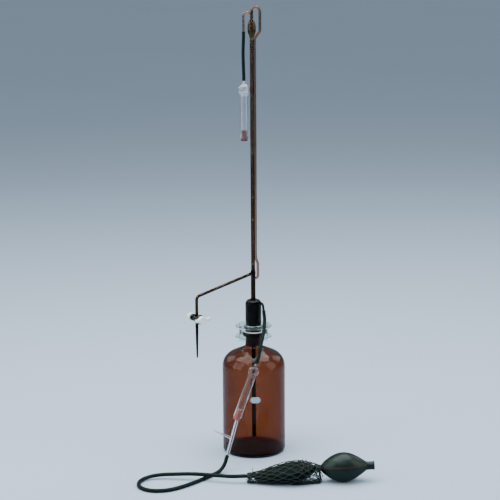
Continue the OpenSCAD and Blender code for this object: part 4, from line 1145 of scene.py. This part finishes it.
class BURETTE_OT_stopcock(bpy.types.Operator):
    """Makes the stopcock's glass barrel, its white key with the winged handle, and the jet"""

    bl_idname = "burette.stopcock"
    bl_label = "Stopcock"

    def execute(self, context):
        end = COCK_HALF
        barrel = [(7.1, -end), (7.1, 3.2 - end), (6.3, 4.6 - end), (8.3, end - 5), (9.9, end - 3.4),
                  (10, end - 0.6), (9.6, end), (6.3, end), (3.3, -end)]
        blown("stopcock_barrel_glass", "amber_tube_glass", barrel, "stopcock_barrel",
              place=COCK_PLACE, segments=64)
        weld = JET_LEN - 7.2
        jet = [(0.45, 0), (1.4, 0), (1.55, 1), (1.9, 8), (3.3, weld - 10.8), (3.3, weld - 2.8),
               (4.2, weld), (1.2, weld), (1.2, weld - 12.8), (0.45, 8)]
        blown("jet_glass", "dark_head_glass", jet, "jet_tip", place=JET_PLACE)
        self.key(white_plastic("waxy_white_plastic"))
        for node in ("key_washer", "key_nut"):
            finish_node(node, white_plastic("waxy_white_plastic"))
        finish_node("key_o_ring", bulb_rubber())
        return {"FINISHED"}

    def key(self, plastic):
        """Key with its plug, stub and a rounded handle of a short and a long wing."""
        plug = [(0, -27.5), (2.5, -27.5), (2.9, -27.1), (2.9, -15.3), (3.2, -15.3), (6.25, 15), (6.25, 15.6)]
        hub = arc(7.3, 16.8, 1.2, -90, 0, 6) + arc(7.3, 23.4, 1.2, 0, 90, 6)
        hub += [(5.8, 24.6), (5.4, 23.8), (0, 23.8)]
        key = Shape()
        key.add(*lathe_data(plug + hub, segments=48))
        for way, reach in WINGS.items():
            key.add(*self.wing(way, reach))
        piece = mesh_object("key_plastic", key.points, key.faces, plastic, COCK_PLACE, crease=35)
        dress(piece, "white_ptfe", "stopcock_key", body=KEY)

    def wing(self, way, reach):
        """Rounded wing that leaves the hub and swells a little to its round end."""
        rows, sides = 14, 20
        root, round_end, middle, half_t, corner, crowd = 4, 4, 20, 2.6, 0.75, 1.6
        points = []
        for i in range(rows + 1):
            t = i / rows
            x = root + (reach - root) * (1 - (1 - t) ** crowd)
            end = max(0.0, (x - (reach - round_end)) / round_end)
            close = math.sqrt(max(0.0, 1 - end * end))
            half_w = 3.5 + 0.7 * t
            for j in range(sides):
                a = 2 * math.pi * j / sides
                y = half_w * close * math.copysign(abs(math.cos(a)) ** corner, math.cos(a))
                z = middle + half_t * close * math.copysign(abs(math.sin(a)) ** corner, math.sin(a))
                points.append((way * x, y, z))
        return points, grid_faces(rows + 1, sides) + [tuple(range(sides))]


class BURETTE_OT_clamp(bpy.types.Operator):
    """Finishes the clear clamp plates and winds the two tension springs"""

    bl_idname = "burette.clamp"
    bl_label = "Joint clamp"

    def execute(self, context):
        for node in ("upper_clamp_plate", "lower_clamp_plate"):
            finish_node(node, acrylic("clear_acrylic"))
        for side, turn in (("left", 180), ("right", 0)):
            place = rotation(turn, "Z") @ Matrix.Translation((SPRING_REACH, 0, 0))
            path = [place @ p for p in self.spring_path()]
            wire = sweep(side + "_spring_wire", path, SPRING_WIRE_R, steel("bright_wire"), sides=10)
            dress(wire, "spring_steel", side + "_clamp_spring")
        return {"FINISHED"}

    def spring_path(self):
        """Wire from the lower hook up through the curls to the upper hook."""
        r, hook, curls, per_curl, run_in = 2.2, 1.8, 9, 20, 0.7
        low, high = LOWER_PLATE_Z - 6, UPPER_PLATE_Z + PLATE_T + 1.4
        foot = LOWER_PLATE_Z + PLATE_T + 3
        rise = (UPPER_PLATE_Z - LOWER_PLATE_Z - PLATE_T - 6) / curls
        lower_hook = arc(hook, low, hook, 0, -180, 12)
        upper_hook = arc(hook, high, hook, 180, 0, 12)
        path = [Vector((r, 2 * hook, low + 1.5))] + [Vector((r, y, z)) for y, z in lower_hook]
        path += [Vector((r, 0, LOWER_PLATE_Z)), Vector((r, 0, foot - run_in))]
        for i in range(curls * per_curl + 1):
            a = 2 * math.pi * i / per_curl
            path.append(Vector((r * math.cos(a), r * math.sin(a), foot + rise * i / per_curl)))
        path += [Vector((r, 0, foot + rise * curls + run_in)), Vector((r, 0, UPPER_PLATE_Z + PLATE_T))]
        return path + [Vector((r, y, z)) for y, z in upper_hook]


# Finger vent of the tee: distance from the stem's middle and radius there
FINGER_VENT = [(3.4, 4.2), (5, 3.3), (8, 2.9), (14, 2.5), (22, 2.0), (32, 1.6), (42.5, 1.2)]
FINGER_VENT_Z = -50
FINGER_VENT_RISE = math.radians(9)


class BURETTE_OT_drying(bpy.types.Operator):
    """Makes the two clear drying tubes, their stoppers and the tee with the finger vent"""

    bl_idname = "burette.drying"
    bl_label = "Drying tubes"

    def execute(self, context):
        for side, kind, place in (("vent", "bright_clear_glass", VENT_PLACE),
                                  ("inlet", "clean_clear_glass", INLET_PLACE)):
            blown(side + "_drying_glass", kind, self.outline(), side + "_drying_tube",
                  place=place, segments=64)
        finish_node("vent_stopper", stopper_rubber("red_brown_rubber", look().upper_stopper))
        finish_node("inlet_stopper", stopper_rubber("pink_red_rubber", look().lower_stopper))
        self.tee()
        self.finger_vent()
        return {"FINISHED"}

    def outline(self):
        """Neck, bulb and body of a drying tube that hangs from the origin."""
        wall, r, bulb_r, bulb_z, neck_r, bore = 1.3, 8.8, 12, -18, 2.4, 1.4
        foot = -DRY_LEN
        low = math.degrees(math.asin(r / bulb_r * 0.86))
        high = math.degrees(math.asin((neck_r + 0.6) / bulb_r))
        waist = bulb_z - bulb_r * math.cos(math.radians(low)) - 2
        top = bulb_z + bulb_r * math.cos(math.radians(high)) + 1
        outside = [(bore, GRIP), (neck_r, GRIP), (neck_r, top + 1), (neck_r + 0.2, top)]
        outside += arc(0, bulb_z, bulb_r, 90 - high, low - 90, 36)
        outside += [(r - 0.6, waist - 0.5), (r - 0.1, waist - 2.5), (r, waist - 4), (r, foot + 10)]
        outside += [(r + 0.2, foot + 6), (r + 0.6, foot + 3), (r + 0.6, foot + 0.5), (r + 0.2, foot)]
        inside = [(r - wall, foot), (r - wall, waist - 3.5)]
        inside += arc(0, bulb_z, bulb_r - wall, low - 90, 90 - high, 36)
        return outside + inside + [(bore, top)]

    def tee(self):
        """Straight stem of the tee, from inside the stopper to its end in the hose."""
        r, end_r, bore, top, shoulder = 3.6, 3.0, 1.9, 13.75, -11.55
        foot = -TEE_LEN - GRIP
        outline = [(bore, top), (end_r, top), (end_r, shoulder), (r, shoulder - 2), (r, 4 - TEE_LEN),
                   (end_r, -TEE_LEN), (end_r, foot), (bore, foot)]
        blown("tee_stem_glass", "clean_clear_glass", outline, "finger_vent_tee", place=TEE_PLACE)

    def finger_vent(self):
        """Drawn-out side tube of the tee."""
        way = Vector((-math.cos(FINGER_VENT_RISE), 0, math.sin(FINGER_VENT_RISE)))
        start = Vector((0, 0, FINGER_VENT_Z))
        path = [TEE_PLACE @ (start + way * reach) for reach, _ in FINGER_VENT]
        radii = [r for _, r in FINGER_VENT]
        drawn_out("finger_vent_glass", "clean_clear_glass", path, radii, [r / 2 for r in radii])


# Bellows

# Rings of the slack bag: place along it, half width, top and foot
BAG_RINGS = [
    (-192.1, 4.8, 19.8, 10.2), (-183.1, 5, 20, 10), (-178, 9.5, 20.8, 4.4), (-171, 14, 22.2, 2),
    (-159, 19, 25.8, 1.6), (-146, 23.6, 30.2, 1.5), (-133, 27, 34.4, 1.5), (-120, 29.6, 38, 1.5),
    (-107, 31.2, 40.6, 1.5), (-96, 31, 41.2, 1.9), (-87, 28.6, 40.6, 3.4), (-79, 24, 39.6, 6.4),
    (-72, 18.5, 38.2, 10.4), (-66, 13.5, 36.8, 14.4), (-61, 8.6, 35, 19), (-54.1, 4.8, 32.8, 23.2),
]
BAG_LOWEST = 1.5
BAG_SLACK = 0.03
# Folds of the bag: depth, number round it and turn along it
BAG_FOLDS = [(0.9, 5, 0.058), (0.7, 9, -0.11), (0.5, 3, 0.26)]
# Rings of the slack net: place along the bag, half width, top, foot, and the lead of the foot on the top
NET_RINGS = [
    (-190, 11, 21.5, 1, -1), (-183.5, 12.5, 22.6, 0.8, 0), (-174, 16.5, 24, 0.8, 0),
    (-162, 21, 27.2, 0.7, 0), (-149, 25.6, 31.4, 0.7, 0), (-136, 29.2, 35.8, 0.7, 0),
    (-123, 32, 39.6, 0.7, 0), (-110, 33.8, 42.4, 0.7, 0), (-97, 34.4, 43.6, 0.7, 0),
    (-85, 32.8, 43.4, 0.7, 1), (-75, 28.5, 42, 0.7, 4), (-67, 23, 40.6, 0.7, 8),
    (-60, 17, 39.2, 0.7, 11), (-54, 10.5, 37.4, 1.6, 8), (-49.5, 6.6, 35, 21, 0),
]
NET_ROUND = 12
NET_LAST = len(NET_RINGS) - 1
NET_SEED = 7
KNOT_SLIP = 1.6
KNOT_TURN = 0.09
CORD_SIDES = 6
# Loose ends of the net: where they start and how far they reach
LOOSE_ENDS = [((-185, -4, 21), (-0.5, 1, 12)), ((-48, -8, 25), (5, -5, -12)), ((-49, -6, 22), (7, -3, -8))]
LOOSE_END_BOW = Vector((0, -1.5, 1.5))
LOOSE_END_SHARE = 0.9
HEAP_STRANDS = 8
HIGH_KNOT = 36
TIE_X = -49


def random_point(rng, *parts):
    """Vector whose parts are fixed, or drawn between two ends."""
    return Vector([rng.uniform(*part) if isinstance(part, tuple) else part for part in parts])


class BURETTE_OT_bag(bpy.types.Operator):
    """Makes the slack rubber bag, the knotted net round it and the ties at its ends"""

    bl_idname = "burette.bag"
    bl_label = "Netted bag"

    def execute(self, context):
        self.bag()
        self.net()
        finish_node("bag_nipple", steel("bright_wire"))
        return {"FINISHED"}

    def bag(self):
        """Slack bag with soft folds that lies on the table and tapers up to the hand bulb's neck."""
        sides = 64
        rings = smooth_path(BAG_RINGS, 5)
        points = []
        for x, half_w, top, foot in rings:
            slack = BAG_SLACK * (half_w - BAG_NECK_R)
            for j in range(sides):
                a = 2 * math.pi * j / sides
                fold = slack * sum(d * math.sin(n * a + turn * x) for d, n, turn in BAG_FOLDS)
                z = (top + foot) / 2 + ((top - foot) / 2 + fold) * math.sin(a)
                points.append((x, (half_w + fold) * math.cos(a), max(z, BAG_LOWEST)))
        end = (len(rings) - 1) * sides
        faces = grid_faces(len(rings), sides) + [tuple(range(sides)), tuple(range(end, end + sides))]
        bag = mesh_object("bag_rubber", points, faces, bag_rubber(), BELLOWS_FRAME)
        dress(bag, "black_rubber", "reservoir_bag")

    def net(self):
        """Slack sleeve of knotted cord with open loops at its ends and a tie on the bulb's neck."""
        rng = random.Random(NET_SEED)
        cord_r = sizes().net_cord_d / MM / 2
        cords = Shape()

        def strand(start, end, bow, r=cord_r):
            cords.add(*self.slack_cord(start, end, bow, r, cord_r))

        knots = self.knot_places(rng)
        self.meshes(rng, knots, strand)
        self.end_loops(rng, knots, strand)
        self.heap(rng, strand)
        for place in knots.values():
            cords.add(*self.knot(place, cord_r))
        for start, way in LOOSE_ENDS:
            start = Vector(start)
            strand(start, start + Vector(way), LOOSE_END_BOW, cord_r * LOOSE_END_SHARE)
        cords.add(*self.tie(cord_r))
        fibre = cord_fibre("knotted_cord")
        net = mesh_object("net_cords", cords.points, cords.faces, fibre, BELLOWS_FRAME, crease=60)
        dress(net, "net_cord", "bag_net", "left_net_tie", "right_net_tie")

    def knot_places(self, rng):
        """Places of the knots, by ring and by number round the ring."""
        knots = {}
        for i, (x, half_w, top, foot, lead) in enumerate(NET_RINGS):
            for k in range(NET_ROUND):
                a = (k + (i % 2) / 2) * 2 * math.pi / NET_ROUND + rng.uniform(-KNOT_TURN, KNOT_TURN)
                along = x + lead * max(0, -math.sin(a)) + rng.uniform(-KNOT_SLIP, KNOT_SLIP)
                z = (top + foot) / 2 + (top - foot) / 2 * math.sin(a)
                knots[i, k] = Vector((along, half_w * math.cos(a), z))
        return knots

    def meshes(self, rng, knots, strand):
        """Diamond meshes: two strands from each knot to the next ring."""
        for i in range(NET_LAST):
            for k in range(NET_ROUND):
                for other in (k, k - 1 + 2 * (i % 2)):
                    bow = random_point(rng, (-0.8, 0.8), 0, (-1.0, 0.3))
                    strand(knots[i, k], knots[i + 1, other % NET_ROUND], bow)

    def end_loops(self, rng, knots, strand):
        """Open loops at both ends, and slack loops on top where the net is gathered."""
        for k in range(NET_ROUND):
            after = (k + 1) % NET_ROUND
            for reach in (-5, -2.5, 1):
                bow = random_point(rng, (reach - 1, reach + 1), (-1, 1), -0.5)
                strand(knots[0, k], knots[0, after], bow)
            strand(knots[NET_LAST, k], knots[NET_LAST, after], random_point(rng, (1, 2.5), 0, 0))
            for i in range(NET_LAST - 5, NET_LAST - 1):
                if knots[i, k].z > HIGH_KNOT:
                    strand(knots[i, k], knots[i, after], random_point(rng, (-2, 4), 0, (1.5, 4)))

    def heap(self, rng, strand):
        """Loose strands that lie in front of the bag and rise to the bulb's neck."""
        for _ in range(HEAP_STRANDS):
            start = random_point(rng, (-108, -84), (-20, -15), 1)
            end = random_point(rng, (-50, -46), (-14, -6), (1, 3.5))
            neck = random_point(rng, (-62, -49), (-9, -5), (18, 25))
            strand(start, end, random_point(rng, 2, (-5, -2), (0, 2.5)))
            strand(end, neck, random_point(rng, (0, 4), -2, 0))

    def slack_cord(self, start, end, bow, r, lowest):
        """Slack cord between two places, bowed out by bow at its middle and never below the table."""
        steps = 6
        path = []
        for s in range(steps + 1):
            t = s / steps
            p = start.lerp(end, t) + bow * (4 * t * (1 - t))
            path.append(Vector((p.x, p.y, max(p.z, lowest))))
        return sweep_data(path, r, CORD_SIDES)

    def knot(self, middle, cord_r):
        """Small lump where cords are knotted."""
        wide, high = 1.9 * cord_r, 1.7 * cord_r
        points, faces = lathe_data([(r * wide, z * high) for r, z in arc(0, 0, 1, -90, 90, 5)], 8)
        middle = Vector((middle.x, middle.y, max(middle.z, high)))
        return [middle + Vector(p) for p in points], faces

    def tie(self, cord_r):
        """Cord wound round the bulb's neck."""
        turns, steps = 3, 20
        middle = Vector((TIE_X, 0, HAND_Z + TIE_X * math.sin(math.radians(HAND_TILT))))
        path = []
        for s in range(turns * steps + 1):
            a = 2 * math.pi * s / steps
            r = HAND_LEFT_R + cord_r + 0.15 + 0.2 * math.sin(a * 0.37)
            along = (s / steps - turns / 2) * cord_r * 1.8
            path.append(middle + Vector((along, r * math.cos(a), r * math.sin(a))))
        return sweep_data(path, cord_r, CORD_SIDES)


# Cross-section of the hand bulb's mould line: place across it and height
SEAM_SECTION = [(-1.5, -0.12), (-0.9, 0.12), (0.9, 0.12), (1.5, -0.12)]
SEAM_RISE = math.radians(14)


class BURETTE_OT_hand_bulb(bpy.types.Operator):
    """Makes the hand bulb with its mould line, and finishes the valves"""

    bl_idname = "burette.hand_bulb"
    bl_label = "Hand bulb"

    def execute(self, context):
        steps, left, right, hollow = 40, -HAND_HALF - 7, HAND_HALF + HAND_NECK, HAND_HALF * 0.8
        zs = [HAND_HALF * i / steps for i in range(-steps, steps + 1)]
        outside = [(5.0, left), (HAND_LEFT_R, left + 0.4)] + [(self.radius(z), z) for z in zs]
        outside += [(8.6, HAND_HALF + 2.5), (8.5, HAND_HALF + 5), (8.5, right - 3.6)]
        outside += arc(8.4, right - 2.4, 0.6, -60, 0, 3) + [(HAND_RIGHT_R, right - 0.5), (8.6, right)]
        inside = [(HAND_BORE_R, right), (HAND_BORE_R, HAND_HALF - 4)]
        inside += [(self.radius(z) - HAND_WALL, z) for z in reversed(zs) if abs(z) < hollow]
        inside += [(HAND_BORE_R, 4 - HAND_HALF), (HAND_BORE_R, left)]
        bulb = lathe("bulb_rubber", outside + inside, bulb_rubber(), HAND_FRAME, segments=96)
        dress(bulb, "black_rubber", "hand_bulb")
        self.seam(zs)
        for node in ("outlet_valve_body", "outlet_valve_ball", "inlet_valve_body", "inlet_valve_ball"):
            finish_node(node, steel("bright_wire"))
        return {"FINISHED"}

    def radius(self, z):
        """Radius of the bulb at a distance from its middle."""
        share = max(0.0, math.cos(math.pi / 2 * z / HAND_HALF))
        if z < 0:
            return HAND_LEFT_R + (HAND_R - HAND_LEFT_R) * share ** HAND_SWELL
        return HAND_RIGHT_R + (HAND_R - HAND_RIGHT_R) * share

    def seam(self, zs):
        """Low mould line along both sides of the bulb."""
        front = math.atan2(-math.cos(SEAM_RISE), -math.sin(SEAM_RISE))
        tone = look().seam
        lines = Shape()
        for start in (front, front + math.pi):
            points = []
            for z in zs:
                r = self.radius(z)
                turns = [(start + across / r, r + proud) for across, proud in SEAM_SECTION]
                points += [(size * math.cos(a), size * math.sin(a), z) for a, size in turns]
            lines.add(points, grid_faces(len(zs), len(SEAM_SECTION), closed=False))
        material = rubber("mould_line_rubber", tone, shaded(tone, 1.6), roughness=0.5)
        dress(mesh_object("bulb_mould_line", lines.points, lines.faces, material, HAND_FRAME), "red_rubber")


class BURETTE_PT_panel(bpy.types.Panel):
    """Pieces of the burette"""

    bl_label = "Automatic burette"
    bl_idname = "BURETTE_PT_panel"
    bl_space_type = "VIEW_3D"
    bl_region_type = "UI"
    bl_category = "Burette"

    def draw(self, context):
        for operator in OPERATORS:
            self.layout.operator(operator.bl_idname)
        for name, group in GROUPS.items():
            box = self.layout.box()
            for label in group.__annotations__:
                box.prop(getattr(context.scene, name), label)


GROUPS = {"burette_look": BuretteLook, "burette_sizes": BuretteSizes, "burette_stage": BuretteStage}
OPERATORS = (
    BURETTE_OT_stage,
    BURETTE_OT_hoses,
    BURETTE_OT_bottle,
    BURETTE_OT_glass,
    BURETTE_OT_scale,
    BURETTE_OT_stopcock,
    BURETTE_OT_clamp,
    BURETTE_OT_drying,
    BURETTE_OT_bag,
    BURETTE_OT_hand_bulb,
)
CLASSES = (*GROUPS.values(), *OPERATORS, BURETTE_PT_panel)


def register():
    """Adds the classes and the scene's properties."""
    for cls in CLASSES:
        bpy.utils.register_class(cls)
    for name, group in GROUPS.items():
        setattr(bpy.types.Scene, name, bpy.props.PointerProperty(type=group))


def unregister():
    """Takes the scene's properties and the classes away again."""
    for name in GROUPS:
        delattr(bpy.types.Scene, name)
    for cls in reversed(CLASSES):
        bpy.utils.unregister_class(cls)


def main():
    """Makes all pieces in order."""
    register()
    for operator in OPERATORS:
        group, name = operator.bl_idname.split(".")
        getattr(getattr(bpy.ops, group), name)()


if __name__ == "__main__":
    main()
